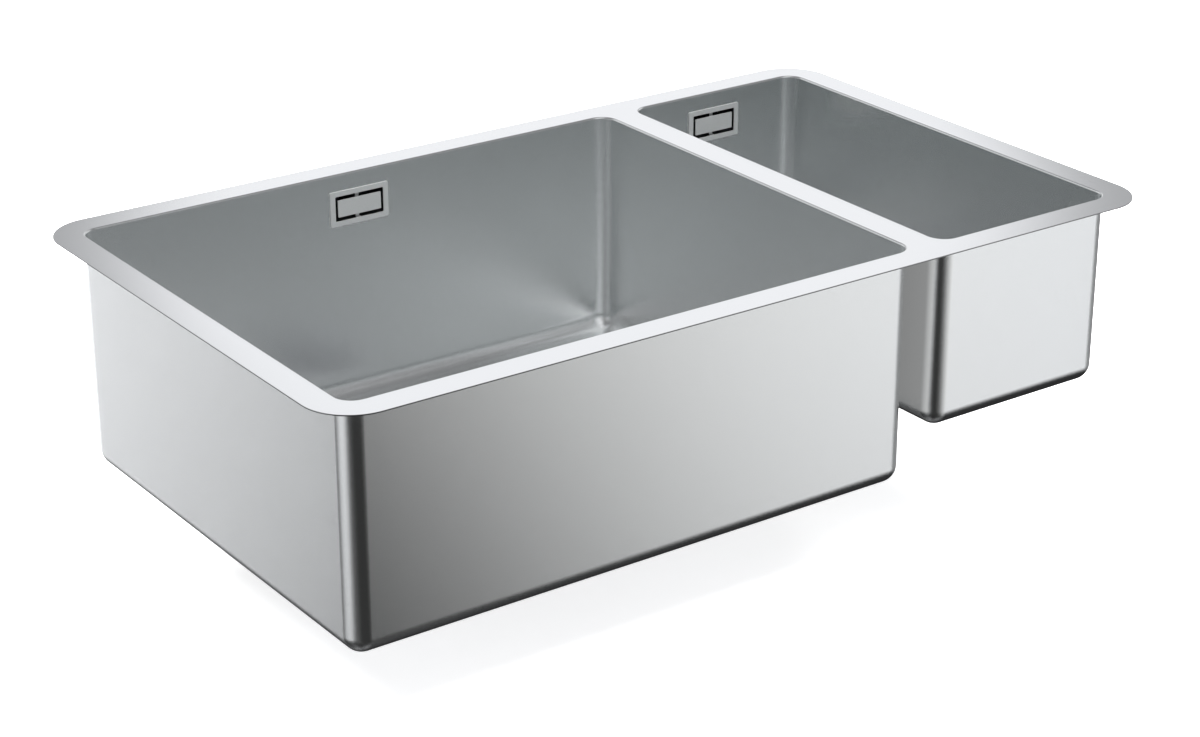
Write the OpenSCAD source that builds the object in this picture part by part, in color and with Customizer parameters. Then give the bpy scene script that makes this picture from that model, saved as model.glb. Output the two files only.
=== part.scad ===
// Undermount kitchen sink in stainless steel sheet: one deck plate, a large and a small bowl, and for each
// bowl a basket strainer waste, a wall overflow and the rigid pipe that joins the two.
// Frame: z = 0 is the deck's top face, which seals under the worktop, and the origin is the middle of the
// deck's outline. +X points to the small bowl, +Y to the back walls with the overflows, +Z up.

/* [Deck] */
// Width of the flat deck round the bowls
border = 25; // [22:0.5:45]
// Width of the deck between the two bowls
bridge = 29; // [24:0.5:60]
// Thickness of the steel sheet
sheet_t = 1.0; // [0.8:0.1:1.2]
// Radius of the rolled edge where the deck turns down into a bowl
lip_r = 1.6; // [1.4:0.1:3]

/* [Bowls] */
// Inside width of the large bowl
large_w = 498; // [340:1:640]
// Inside width of the small bowl
small_w = 178; // [175:1:300]
// Inside depth of both bowls from front to back
bowl_d = 400; // [340:1:460]
// Height of the large bowl from its floor's edge to the deck
large_h = 195; // [150:1:230]
// Height of the small bowl from its floor's edge to the deck
small_h = 159; // [130:1:200]
// Inside radius of the bowls' upright corners and floor edges
corner_r = 14; // [8:1:22]
// How far the floor falls from its edge to the drain
floor_fall = 2.5; // [1:0.25:4]
// Distance from the back wall to the middle of the drain
drain_back = 100; // [88:1:160]
// Thickness of the sound-deadening pad under the floor
pad_t = 2.5; // [2:0.5:4]

/* [Strainer waste] */
// Diameter of the drain hole
drain_d = 90; // [89:0.5:92]
// Width of the strainer's flange round the drain hole
flange_w = 11.5; // [10.5:0.25:13]
// Depth of the recess that takes the flange
recess_h = 3; // [2.5:0.25:4]
// Thickness of the strainer's and the basket's steel
cup_t = 1.0; // [0.8:0.1:1.2]
// Thickness of the gasket under the strainer's flange
rim_gasket_t = 1.5; // [1:0.25:2]
// Thickness of the gasket between the bowl and the waste body
body_gasket_t = 2; // [1.5:0.25:3]
// Height of the basket from its rim to its floor
basket_h = 16; // [12:0.5:24]
// Diameter of the basket's drain holes
basket_hole_d = 3.2; // [2:0.1:3.6]
// Travel of the stopper from closed to open
stopper_travel = 8; // [4:0.5:12]
// Diameter of the rubber stopper
stopper_d = 54; // [50:1:60]
// Diameter of the stopper's stem
stem_d = 6; // [5:0.5:8]
// Diameter of the knob
knob_d = 18; // [15:0.5:22]
// Wall thickness of the plastic waste body
body_t = 2.5; // [2:0.25:3.5]
// Thread diameter of the waste outlet, an inch and a half pipe thread
outlet_d = 47.8; // [47:0.1:48.5]
// Bore of the waste outlet
outlet_bore = 40; // [36:0.5:42]
// Length of the threaded outlet
outlet_len = 16; // [14:0.5:30]

/* [Overflow] */
// Width of the overflow's frame
frame_w = 55; // [52:0.5:64]
// Height of the overflow's frame
frame_h = 30; // [29:0.5:36]
// Thickness of the overflow's frame
frame_t = 0.8; // [0.6:0.1:1.2]
// Depth of the overflow's middle below the deck's top face
overflow_drop = 29.5; // [26:0.5:45]
// Width of the window in the frame
window_w = 45.6; // [42:0.2:47]
// Height of the window in the frame
window_h = 21.4; // [19:0.2:22]
// Width of the slot between the cover plate and the window's sides
slot_side = 2.2; // [1.5:0.1:3]
// Height of the slot between the cover plate and the window's top and bottom
slot_top = 2.9; // [1.5:0.1:3.4]
// Width of the strap behind the cover plate
strap_w = 3.4; // [2.6:0.1:4]
// How far the strap lies behind the wall's face
strap_back = 3.2; // [3:0.1:4.5]
// Thickness of the gasket behind the wall
wall_gasket_t = 1.5; // [1:0.25:2.5]
// Wall thickness of the plastic overflow housing
housing_t = 1.8; // [1.5:0.1:2.5]
// Outside diameter of the overflow pipe
pipe_d = 18; // [16:0.5:20]
// Wall thickness of the overflow pipe
pipe_t = 1.5; // [1.2:0.1:2]
// Radius of the pipe's bend, along its middle
bend_r = 24; // [20:1:28]

/* [Hidden] */
$fn = 64;
over = 1;

// The two bowls, by number: 0 is the large one, 1 the small one.
SIDES = ["large", "small"];
BOWL_PARTS = [
    "bowl", "floor_pad",
    "rim_gasket", "strainer_cup", "body_gasket", "waste_body", "waste_hub", "waste_insert", "centre_screw",
    "basket", "stopper_disc", "stopper_stem", "stopper_knob",
    "overflow_frame", "overflow_plate", "overflow_screw", "overflow_insert", "overflow_gasket",
    "overflow_housing", "overflow_pipe", "upper_nut", "upper_seal", "lower_nut", "lower_seal"
];

// Deck outline and the bowls' places
deck_w = 2 * border + large_w + bridge + small_w;
deck_d = bowl_d + 2 * border;
deck_r = border + corner_r;
width = [large_w, small_w];
height = [large_h, small_h];
middle_x = [-deck_w / 2 + border + large_w / 2, deck_w / 2 - border - small_w / 2];
back_y = bowl_d / 2;
drain_y = back_y - drain_back;
core_d = bowl_d - 2 * corner_r;
function core_w(side) = width[side] - 2 * corner_r;

// Recess round the drain hole, for the strainer's flange
flange_d = drain_d + 2 * flange_w;
recess_gap = 2;
recess_slope = 2;
recess_r = flange_d / 2 + recess_gap;
pad_margin = 12;
function recess_z(side) = -height[side] - floor_fall - recess_h;

// Strainer cup, in its own frame: z = 0 is the recess's floor
hole_gap = 0.6;
step_r = drain_d / 2 - hole_gap;
shoulder_w = 4;
shoulder_z = -2.5;
cup_r = step_r - shoulder_w;
flange_top = rim_gasket_t + cup_t;
rim_turn = 1;
rest_gap = 0.4;
collar_t = 1.2;
collar_w = 3;
disc_t = 4;
disc_bevel = 0.6;
disc_slope_h = 1.4;
disc_slope_w = 3;
pocket_r = 10;
pocket_h = 2.5;
button_w = 2;
button_t = 1.2;
cup_floor = shoulder_z - basket_h - rest_gap - stopper_travel - collar_t - disc_t;
seat_w = 5;
seat_r = stopper_d / 2 - seat_w;
spider_h = 4.5;
spider_w = 3.2;
spider_sink = cup_t / 2;
spider_grip = 1;
hub_r = 8;
hub_h = 3;
hub_drop = 3;
hub_top = cup_floor - hub_drop;
hub_bottom = hub_top - hub_h;

// Basket, stem and knob
basket_gap = 0.6;
basket_t = 0.8;
rim_r = step_r - cup_t - basket_gap;
basket_r = cup_r - cup_t - basket_gap;
basket_floor = shoulder_z - basket_h;
stem_fit = 0.06;
guide_wall = 2.5;
guide_r = stem_d / 2 + guide_wall;
guide_h = 7;
knob_h = 12;
knob_neck = 2.5;
knob_edge = 1.5;
knob_gap = 0.5;
knob_z = basket_floor + basket_t + guide_h + knob_gap;
hole_pitch = 6.4;
floor_band = basket_r - basket_t - guide_r;
hole_rows = floor(floor_band / hole_pitch) - 1;
wall_rows = 2;
wall_holes = 24;
wall_pitch = 5.5;

// Screws and inserts
screw_r = 3;
screw_free = 0.3;
screw_fit = 0.06;
head_r = 5.4;
head_h = 2.4;
head_taper = 0.8;
insert_wall = 2;
insert_len = 8;
small_screw_r = 2;
small_head_r = 3.5;
small_head_h = 1.8;
small_screw_len = 12;
small_insert_wall = 1.2;
small_insert_len = 8;

// Waste body
body_clear = 0.5;
body_r = drain_d / 2 + body_clear;
body_inset = 0.5;
body_flange_r = flange_d / 2 - body_inset;
body_flange_t = 4;
body_top = -sheet_t - body_gasket_t;
rib_h = 4;
rib_w = 3;
hub_reach = outlet_bore / 2;
hub_clear = 3;
insert_top = hub_bottom - hub_clear;
chamber_end = insert_top - insert_len + rib_h;
cone_h = 13;
outlet_top = chamber_end - cone_h;
outlet_shoulder = outlet_top - body_t;
outlet_end = outlet_shoulder - outlet_len;
gasket_inset = 1.2;

// Overflow, on the back wall
frame_r = 1.2;
window_r = 1.0;
strap_t = 0.9;
strap_boss_r = 5.2;
wall_hole_gap = 1.5;
wall_hole_w = window_w + 2 * wall_hole_gap;
wall_hole_h = window_h + 2 * wall_hole_gap;
plate_w = window_w - 2 * slot_side;
plate_h = window_h - 2 * slot_top;
plate_t = 1.0;
leg_r = 1.2;
leg_gap = 0.8;
leg_y = small_head_r + leg_gap + leg_r;
rear_flange = 4;
rear_flange_t = 2;
post_r = 4.8;

// Overflow pipe, its sockets and nuts
pipe_fit = 0.1;
socket_t = 2;
socket_r = pipe_d / 2 + pipe_fit + socket_t;
socket_len = 18;
socket_stop = 8;
nut_fit = 0.15;
nut_t = 2;
nut_r = socket_r + nut_fit + nut_t;
nut_lip = 3;
nut_len = 14;
nut_grips = 12;
grip_r = 1;
seal_len = 4;
nut_wall_gap = 1;
pipe_y = back_y + sheet_t + nut_wall_gap + nut_r + grip_r / 2;
housing_back = pipe_y + socket_r;
housing_bottom = -overflow_drop - wall_hole_h / 2 - housing_t;
upper_mouth = housing_bottom - socket_len;
branch_out = 20;
branch_least = 20;
branch_drop = max(branch_least, nut_r + grip_r - body_top + pad_t);
branch_mouth = body_r + body_t + branch_out;
pipe_end = branch_mouth - socket_len + socket_stop;

module steel() { color([0.80, 0.81, 0.82]) children(); }
module satin() { color([0.62, 0.64, 0.64]) children(); }
module rubber() { color([0.13, 0.13, 0.14]) children(); }
module plastic() { color([0.22, 0.23, 0.25]) children(); }
module brass() { color([0.78, 0.62, 0.32]) children(); }

// A tube along z, from z = 0 upwards
module ring(outer, inner, tall) {
    difference() {
        cylinder(r = outer, h = tall);
        translate([0, 0, -over]) cylinder(r = inner, h = tall + 2 * over);
    }
}

module rounded_rect(wide, deep, r) {
    square([wide - 2 * r, deep], center = true);
    square([wide, deep - 2 * r], center = true);
    for (x = [-1, 1], y = [-1, 1]) translate([x * (wide / 2 - r), y * (deep / 2 - r)]) circle(r);
}

// Frames for the pieces of one bowl: its middle, its drain recess, its overflow and its overflow pipe
module at_bowl(side) { translate([middle_x[side], 0, 0]) children(); }
module at_drain(side) { translate([middle_x[side], drain_y, recess_z(side)]) children(); }
module at_overflow(side) {
    translate([middle_x[side], back_y, -overflow_drop]) rotate([90, 0, 0]) children();
}

// Deck

module deck_plate() {
    steel() translate([0, 0, -sheet_t]) linear_extrude(sheet_t) difference() {
        rounded_rect(deck_w, deck_d, deck_r);
        for (side = [0, 1]) translate([middle_x[side], 0])
            rounded_rect(width[side] + 2 * lip_r, bowl_d + 2 * lip_r, corner_r + lip_r);
    }
}

// Section of a bowl from its flat core outwards: floor round, wall and rolled edge. grow is 0 for the
// inside of the sheet and sheet_t for its outside.
module bowl_section(tall, grow, top = 0) {
    r = corner_r + grow;
    roll = lip_r - grow;
    intersection() {
        translate([0, corner_r - tall]) circle(r);
        translate([0, -tall - grow]) square([r, r]);
    }
    translate([0, corner_r - tall]) square([r, tall - corner_r + top]);
    difference() {
        translate([r, -lip_r]) square([roll, lip_r + top]);
        translate([corner_r + lip_r, -lip_r]) circle(roll);
    }
}

module sheet_section(tall) {
    difference() {
        bowl_section(tall, sheet_t);
        bowl_section(tall, 0, over);
    }
}

// A section swept round a bowl's core rectangle: four straight runs and four corners
module sweep_round(wide, deep) {
    for (turn = [0, 1]) {
        run = turn == 0 ? deep : wide;
        reach = turn == 0 ? wide : deep;
        for (flip = [0, 180]) rotate([0, 0, 90 * turn + flip])
            translate([reach / 2, run / 2, 0]) rotate([90, 0, 0]) linear_extrude(run) children();
    }
    for (quarter = [0:3]) {
        x = (quarter == 0 || quarter == 3 ? 1 : -1) * wide / 2;
        y = (quarter < 2 ? 1 : -1) * deep / 2;
        translate([x, y, 0]) rotate([0, 0, 90 * quarter]) rotate_extrude(angle = 90) children();
    }
}

// The shallow inverted pyramid by which a floor falls to its drain, from z = 0 down
module fall(side) {
    x = core_w(side) / 2;
    y = core_d / 2;
    polyhedron(
        points = [[-x, -y, 0], [x, -y, 0], [x, y, 0], [-x, y, 0], [0, drain_y, -floor_fall]],
        faces = [[3, 2, 1, 0], [0, 1, 4], [1, 2, 4], [2, 3, 4], [3, 0, 4]]
    );
}

// The dish that takes the strainer's flange, up to the level of the floor's edge
module recess(side, grow) {
    tall = floor_fall + recess_h + grow / 2;
    wall = recess_r + grow;
    translate([0, drain_y, recess_z(side) - grow])
        cylinder(r1 = wall, r2 = wall + recess_slope, h = tall);
}

module bowl_floor(side) {
    difference() {
        union() {
            translate([-core_w(side) / 2, -core_d / 2, -height[side] - sheet_t])
                cube([core_w(side), core_d, sheet_t]);
            translate([0, 0, -height[side] - sheet_t]) fall(side);
            recess(side, sheet_t);
        }
        translate([0, 0, -height[side]]) fall(side);
        recess(side, 0);
        translate([0, drain_y, recess_z(side) - sheet_t - over])
            cylinder(d = drain_d, h = sheet_t + 2 * over);
    }
}

module bowl(side) {
    satin() difference() {
        at_bowl(side) {
            sweep_round(core_w(side), core_d) sheet_section(height[side]);
            bowl_floor(side);
        }
        at_overflow(side) translate([0, 0, -sheet_t - over]) linear_extrude(sheet_t + 2 * over)
            rounded_rect(wall_hole_w, wall_hole_h, window_r);
    }
}

// A pad glued under the floor in front of the drain, with the floor's fall in both faces
module floor_pad(side) {
    wide = core_w(side) - 2 * pad_margin;
    front = -core_d / 2 + pad_margin;
    rear = drain_y - recess_r - recess_slope - sheet_t - pad_margin;
    rubber() at_bowl(side) translate([0, 0, -height[side] - sheet_t]) intersection() {
        translate([-wide / 2, front, -floor_fall - pad_t]) cube([wide, rear - front, floor_fall + pad_t]);
        difference() {
            union() {
                translate([-wide / 2, front, -pad_t]) cube([wide, rear - front, pad_t]);
                translate([0, 0, -pad_t]) fall(side);
            }
            fall(side);
        }
    }
}

// Strainer waste

module rim_gasket(side) {
    rubber() at_drain(side)
        ring(flange_d / 2 - rim_turn - gasket_inset, drain_d / 2 + gasket_inset, rim_gasket_t);
}

module strainer_cup(side) {
    steel() at_drain(side) {
        rotate_extrude() {
            translate([step_r - cup_t, rim_gasket_t]) square([flange_d / 2 - step_r + cup_t, cup_t]);
            translate([flange_d / 2 - rim_turn, rim_gasket_t / 2])
                square([rim_turn, rim_gasket_t / 2 + cup_t]);
            translate([step_r - cup_t, shoulder_z - cup_t]) square([cup_t, flange_top - shoulder_z + cup_t]);
            translate([cup_r - cup_t, shoulder_z - cup_t]) square([step_r - cup_r + cup_t, cup_t]);
            translate([cup_r - cup_t, cup_floor - cup_t]) square([cup_t, shoulder_z - cup_floor + cup_t]);
            translate([seat_r, cup_floor - cup_t]) square([cup_r - seat_r, cup_t]);
        }
        translate([0, 0, hub_bottom]) ring(hub_r, screw_r + screw_free, hub_h);
        for (arm = [0:3]) rotate([0, 0, 90 * arm + 45])
            translate([hub_r - spider_grip, -spider_w / 2, cup_floor - spider_sink - spider_h])
                cube([seat_r - hub_r + 2 * spider_grip, spider_w, spider_h]);
    }
}

module body_gasket(side) {
    rubber() at_drain(side) translate([0, 0, body_top])
        ring(body_flange_r - gasket_inset, drain_d / 2 + gasket_inset, body_gasket_t);
}

module waste_body(side) {
    shell_r = body_r + body_t;
    branch_z = -branch_drop;
    plastic() at_drain(side) {
        difference() {
            union() {
                rotate_extrude() polygon([
                    [0, body_top], [body_flange_r, body_top], [body_flange_r, body_top - body_flange_t],
                    [shell_r, body_top - body_flange_t], [shell_r, chamber_end - body_t],
                    [outlet_d / 2, outlet_shoulder], [outlet_d / 2, outlet_end], [0, outlet_end]
                ]);
                translate([0, 0, branch_z]) rotate([-90, 0, 0]) cylinder(r = socket_r, h = branch_mouth);
            }
            rotate_extrude() polygon([
                [0, body_top + over], [body_r, body_top + over], [body_r, chamber_end],
                [outlet_bore / 2, outlet_top], [outlet_bore / 2, outlet_end - over], [0, outlet_end - over]
            ]);
            translate([0, body_r - over, branch_z]) rotate([-90, 0, 0])
                cylinder(r = pipe_d / 2 - pipe_t, h = branch_mouth);
            translate([0, pipe_end - rest_gap, branch_z]) rotate([-90, 0, 0])
                cylinder(r = pipe_d / 2 + pipe_fit, h = branch_mouth);
        }
        for (arm = [0:2]) rotate([0, 0, 120 * arm + 30])
            translate([hub_reach, -rib_w / 2, insert_top - insert_len])
                cube([body_r - body_t - hub_reach, rib_w, rib_h]);
    }
}

// The hub that holds the brass insert. Its three arms end flat against ribs on the chamber's wall, with
// which it is moulded in one.
module waste_hub(side) {
    boss_r = screw_r + 2 * screw_fit + insert_wall + body_t;
    plastic() at_drain(side) translate([0, 0, insert_top - insert_len]) {
        ring(boss_r, boss_r - body_t, insert_len);
        for (arm = [0:2]) rotate([0, 0, 120 * arm + 30])
            translate([boss_r - body_t / 2, -rib_w / 2, 0])
                cube([hub_reach - boss_r + body_t / 2, rib_w, rib_h]);
    }
}

module waste_insert(side) {
    brass() at_drain(side) translate([0, 0, insert_top - insert_len])
        ring(screw_r + screw_fit + insert_wall, screw_r + screw_fit, insert_len);
}

module centre_screw(side) {
    steel() at_drain(side) {
        translate([0, 0, insert_top - insert_len])
            cylinder(r = screw_r, h = hub_top - insert_top + insert_len);
        translate([0, 0, hub_top]) cylinder(r1 = head_r, r2 = head_r * head_taper, h = head_h);
    }
}

module basket(side) {
    bore_r = stem_d / 2 + stem_fit;
    steel() at_drain(side) difference() {
        rotate_extrude() {
            translate([basket_r - basket_t, shoulder_z]) square([rim_r - basket_r + basket_t, basket_t]);
            translate([basket_r - basket_t, basket_floor]) square([basket_t, basket_h + basket_t]);
            translate([bore_r, basket_floor]) square([basket_r - bore_r, basket_t]);
            translate([bore_r, basket_floor]) square([guide_r - bore_r, basket_t + guide_h]);
        }
        for (row = [1:hole_rows]) {
            r = guide_r + floor_band * row / (hole_rows + 1);
            count = floor(2 * PI * r / hole_pitch);
            for (i = [0:count - 1]) rotate([0, 0, 360 * i / count]) translate([r, 0, basket_floor - over])
                cylinder(d = basket_hole_d, h = basket_t + 2 * over);
        }
        for (row = [1:wall_rows], i = [0:wall_holes - 1])
            rotate([0, 0, 360 * (i + row / 2) / wall_holes])
                translate([basket_r - basket_t - over, 0, basket_floor + row * wall_pitch]) rotate([0, 90, 0])
                    cylinder(d = basket_hole_d, h = basket_t + 2 * over);
    }
}

module stopper_disc(side) {
    r = stopper_d / 2;
    rubber() at_drain(side) translate([0, 0, cup_floor]) difference() {
        rotate_extrude() polygon([
            [0, 0], [r - disc_bevel, 0], [r, disc_bevel], [r, disc_t - disc_slope_h],
            [r - disc_slope_w, disc_t], [0, disc_t]
        ]);
        translate([0, 0, -over]) cylinder(r = pocket_r, h = pocket_h + over);
        translate([0, 0, -over]) cylinder(r = stem_d / 2 + stem_fit, h = disc_t + 2 * over);
    }
}

// The stem's collar lies on the disc, and the button at its end holds the disc from below
module stopper_stem(side) {
    stem_end = cup_floor + pocket_h - button_t;
    stem_top = knob_z + knob_h / 2;
    steel() at_drain(side) {
        translate([0, 0, stem_end]) cylinder(d = stem_d, h = stem_top - stem_end);
        translate([0, 0, stem_end]) cylinder(r = stem_d / 2 + button_w, h = button_t);
        translate([0, 0, cup_floor + disc_t]) cylinder(r = stem_d / 2 + collar_w, h = collar_t);
    }
}

module stopper_knob(side) {
    r = knob_d / 2;
    steel() at_drain(side) translate([0, 0, knob_z]) difference() {
        rotate_extrude() polygon([
            [0, 0], [r - knob_neck, 0], [r - knob_neck, knob_h / 2], [r, knob_h / 2 + knob_edge],
            [r, knob_h - knob_edge], [r - knob_edge, knob_h], [0, knob_h]
        ]);
        translate([0, 0, -over]) cylinder(r = stem_d / 2 + stem_fit, h = knob_h / 2 + over);
    }
}

// Overflow

module overflow_frame(side) {
    leg_h = window_h / 2 + strap_t;
    steel() at_overflow(side) difference() {
        union() {
            linear_extrude(frame_t) difference() {
                rounded_rect(frame_w, frame_h, frame_r);
                rounded_rect(window_w, window_h, window_r);
            }
            for (foot = [-leg_h, window_h / 2]) translate([-strap_w / 2, foot, -strap_back - strap_t])
                cube([strap_w, strap_t, strap_back + strap_t + frame_t / 2]);
            translate([-strap_w / 2, -leg_h, -strap_back - strap_t]) cube([strap_w, 2 * leg_h, strap_t]);
            translate([0, 0, -strap_back - strap_t]) cylinder(r = strap_boss_r, h = strap_t);
        }
        translate([0, 0, -strap_back - strap_t - over])
            cylinder(r = small_screw_r + screw_free, h = strap_t + 2 * over);
    }
}

module overflow_plate(side) {
    plate_back = frame_t - plate_t;
    steel() at_overflow(side) {
        translate([0, 0, plate_back]) linear_extrude(plate_t) rounded_rect(plate_w, plate_h, window_r / 2);
        for (end = [-1, 1]) translate([0, end * leg_y, -strap_back])
            cylinder(r = leg_r, h = strap_back + plate_back);
    }
}

module overflow_screw(side) {
    steel() at_overflow(side) {
        translate([0, 0, -strap_back - small_screw_len]) cylinder(r = small_screw_r, h = small_screw_len);
        translate([0, 0, -strap_back])
            cylinder(r1 = small_head_r, r2 = small_head_r * head_taper, h = small_head_h);
    }
}

module overflow_insert(side) {
    brass() at_overflow(side) translate([0, 0, -strap_back - strap_t - small_insert_len])
        ring(small_screw_r + screw_fit + small_insert_wall, small_screw_r + screw_fit, small_insert_len);
}

module overflow_gasket(side) {
    rim = rear_flange - gasket_inset;
    rubber() at_overflow(side) translate([0, 0, -sheet_t - wall_gasket_t])
        linear_extrude(wall_gasket_t) difference() {
            rounded_rect(wall_hole_w + 2 * rim, wall_hole_h + 2 * rim, window_r + rim / 2);
            rounded_rect(wall_hole_w, wall_hole_h, window_r);
        }
}

module overflow_housing(side) {
    outer_r = window_r + housing_t;
    front = -sheet_t - wall_gasket_t;
    rear = back_y - housing_back;
    insert_r = small_screw_r + 2 * screw_fit + small_insert_wall;
    plastic() {
        at_overflow(side) difference() {
            union() {
                translate([0, 0, front - rear_flange_t]) linear_extrude(rear_flange_t)
                    rounded_rect(wall_hole_w + 2 * rear_flange, wall_hole_h + 2 * rear_flange, outer_r);
                translate([0, 0, rear]) linear_extrude(front - rear)
                    rounded_rect(wall_hole_w + 2 * housing_t, wall_hole_h + 2 * housing_t, outer_r);
            }
            translate([0, 0, rear + housing_t]) linear_extrude(front - rear)
                rounded_rect(wall_hole_w, wall_hole_h, window_r);
            translate([0, over - wall_hole_h / 2, back_y - pipe_y]) rotate([90, 0, 0])
                cylinder(r = pipe_d / 2 - pipe_t, h = housing_t + 2 * over);
        }
        at_overflow(side) difference() {
            translate([0, 0, rear + housing_t / 2])
                cylinder(r = post_r, h = -strap_back - strap_t - rear - housing_t / 2);
            translate([0, 0, -strap_back - strap_t - small_insert_len])
                cylinder(r = insert_r, h = small_insert_len + over);
            translate([0, 0, -strap_back - small_screw_len - over])
                cylinder(r = small_screw_r + screw_free, h = small_screw_len);
        }
        translate([middle_x[side], pipe_y, upper_mouth]) difference() {
            cylinder(r = socket_r, h = socket_len);
            translate([0, 0, -over]) cylinder(r = pipe_d / 2 + pipe_fit, h = socket_len - socket_stop + over);
            translate([0, 0, -over]) cylinder(r = pipe_d / 2 - pipe_t, h = socket_len + 2 * over);
        }
    }
}

// One rigid pipe: down from the housing, round one bend and forward into the waste body's branch
module overflow_pipe(side) {
    low_z = recess_z(side) - branch_drop;
    upper_end = upper_mouth + socket_len - socket_stop - rest_gap;
    plastic() translate([middle_x[side], 0, 0]) {
        translate([0, pipe_y, low_z + bend_r])
            ring(pipe_d / 2, pipe_d / 2 - pipe_t, upper_end - low_z - bend_r);
        translate([0, pipe_y - bend_r, low_z + bend_r]) rotate([0, 90, 0]) rotate_extrude(angle = 90)
            translate([bend_r, 0]) difference() {
                circle(d = pipe_d);
                circle(r = pipe_d / 2 - pipe_t);
            }
        translate([0, drain_y + pipe_end, low_z]) rotate([-90, 0, 0])
            ring(pipe_d / 2, pipe_d / 2 - pipe_t, pipe_y - bend_r - drain_y - pipe_end);
    }
}

// A nut that squeezes the seal between a socket's mouth and the pipe. The socket's mouth is at
// z = nut_lip + seal_len.
module nut() {
    difference() {
        union() {
            cylinder(r = nut_r, h = nut_len + nut_lip);
            for (i = [0:nut_grips - 1]) rotate([0, 0, 360 * i / nut_grips])
                translate([nut_r - grip_r / 2, 0, 0]) cylinder(r = grip_r, h = nut_len + nut_lip);
        }
        translate([0, 0, -over]) cylinder(r = pipe_d / 2 + pipe_fit + screw_free, h = nut_lip + 2 * over);
        translate([0, 0, nut_lip]) cylinder(r = socket_r + nut_fit, h = nut_len + over);
    }
}

module seal() { ring(socket_r, pipe_d / 2 + pipe_fit, seal_len); }

module at_upper_nut(side) {
    translate([middle_x[side], pipe_y, upper_mouth - nut_lip - seal_len]) children();
}

module at_lower_nut(side) {
    translate([middle_x[side], drain_y + branch_mouth + nut_lip + seal_len, recess_z(side) - branch_drop])
        rotate([90, 0, 0]) children();
}

module upper_nut(side) { plastic() at_upper_nut(side) nut(); }
module upper_seal(side) { rubber() at_upper_nut(side) translate([0, 0, nut_lip]) seal(); }
module lower_nut(side) { plastic() at_lower_nut(side) nut(); }
module lower_seal(side) { rubber() at_lower_nut(side) translate([0, 0, nut_lip]) seal(); }

deck_plate();
for (side = [0, 1]) {
    bowl(side);
    floor_pad(side);
    rim_gasket(side);
    strainer_cup(side);
    body_gasket(side);
    waste_body(side);
    waste_hub(side);
    waste_insert(side);
    centre_screw(side);
    basket(side);
    stopper_disc(side);
    stopper_stem(side);
    stopper_knob(side);
    overflow_frame(side);
    overflow_plate(side);
    overflow_screw(side);
    overflow_insert(side);
    overflow_gasket(side);
    overflow_housing(side);
    overflow_pipe(side);
    upper_nut(side);
    upper_seal(side);
    lower_nut(side);
    lower_seal(side);
}
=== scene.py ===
# %% [markdown]
# # A sink for under a worktop
# The real object is a stainless steel sink with one flat deck and two drawn bowls. The deck's top face is
# glued under a worktop, so only the bowls show in a kitchen, but in a shop picture the whole outside shows
# too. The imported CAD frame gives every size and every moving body. This script gives the pieces their
# finish, and models again those whose edges, rounds and grain the CAD solids leave plain.

import math

import bmesh
import bpy
from mathutils import Matrix, Vector


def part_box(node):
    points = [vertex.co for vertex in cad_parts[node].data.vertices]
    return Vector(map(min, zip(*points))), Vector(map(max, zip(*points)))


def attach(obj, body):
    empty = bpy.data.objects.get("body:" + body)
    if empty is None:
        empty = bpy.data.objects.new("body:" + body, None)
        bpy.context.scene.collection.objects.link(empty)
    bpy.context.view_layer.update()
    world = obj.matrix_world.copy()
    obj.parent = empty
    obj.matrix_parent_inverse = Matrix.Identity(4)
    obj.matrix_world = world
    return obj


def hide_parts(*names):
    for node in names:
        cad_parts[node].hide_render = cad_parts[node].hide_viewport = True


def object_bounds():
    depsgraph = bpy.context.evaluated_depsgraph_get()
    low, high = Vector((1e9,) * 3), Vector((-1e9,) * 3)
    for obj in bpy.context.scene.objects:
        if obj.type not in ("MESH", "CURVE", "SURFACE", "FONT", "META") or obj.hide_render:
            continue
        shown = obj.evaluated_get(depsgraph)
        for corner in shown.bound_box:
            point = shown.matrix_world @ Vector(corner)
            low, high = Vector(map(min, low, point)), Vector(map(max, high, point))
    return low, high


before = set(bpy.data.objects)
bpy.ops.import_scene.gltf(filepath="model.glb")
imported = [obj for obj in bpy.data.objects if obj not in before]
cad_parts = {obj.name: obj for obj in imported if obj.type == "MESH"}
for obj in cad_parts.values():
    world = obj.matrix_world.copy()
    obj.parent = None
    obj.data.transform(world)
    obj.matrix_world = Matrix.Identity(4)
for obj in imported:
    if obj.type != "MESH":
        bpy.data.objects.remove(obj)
cad_low, cad_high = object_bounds()
MM = 0.001
print("CAD box in mm", [round(v / MM) for v in cad_high - cad_low])

# %% [markdown]
# ## The camera
# A shop picture of a sink is taken from above the front left corner, so that both bowls and both outer
# walls show. The camera could be aimed with a Track To constraint. Here it gets plain angles, because a
# camera that is turned by numbers is easy to read and never depends on another object.

# %% Camera
PHOTO_W, FOCAL_PX = 1200, 2777
SENSOR_W = 36
FAR_CLIP = 50
CAMERA_AT = (-1.190, -1.668, 0.745)
CAMERA_TURN, CAMERA_PITCH = math.radians(35.44), math.radians(23.18)

lens = bpy.data.cameras.new("camera")
lens.sensor_width = SENSOR_W
lens.lens = SENSOR_W * FOCAL_PX / PHOTO_W
lens.clip_end = FAR_CLIP
camera = bpy.data.objects.new("camera", lens)
camera.location = CAMERA_AT
camera.rotation_euler = (math.pi / 2 - CAMERA_PITCH, 0, -CAMERA_TURN)
bpy.context.scene.collection.objects.link(camera)
bpy.context.scene.camera = camera
print("lens", round(lens.lens, 1), "mm")

# %% [markdown]
# ## Sizes
# Everything is measured from the frame where it can be. Only the small sizes that a box doesn't show, such
# as the sheet's thickness and the rounds, are named here, with the values that the part's source has.

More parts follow.
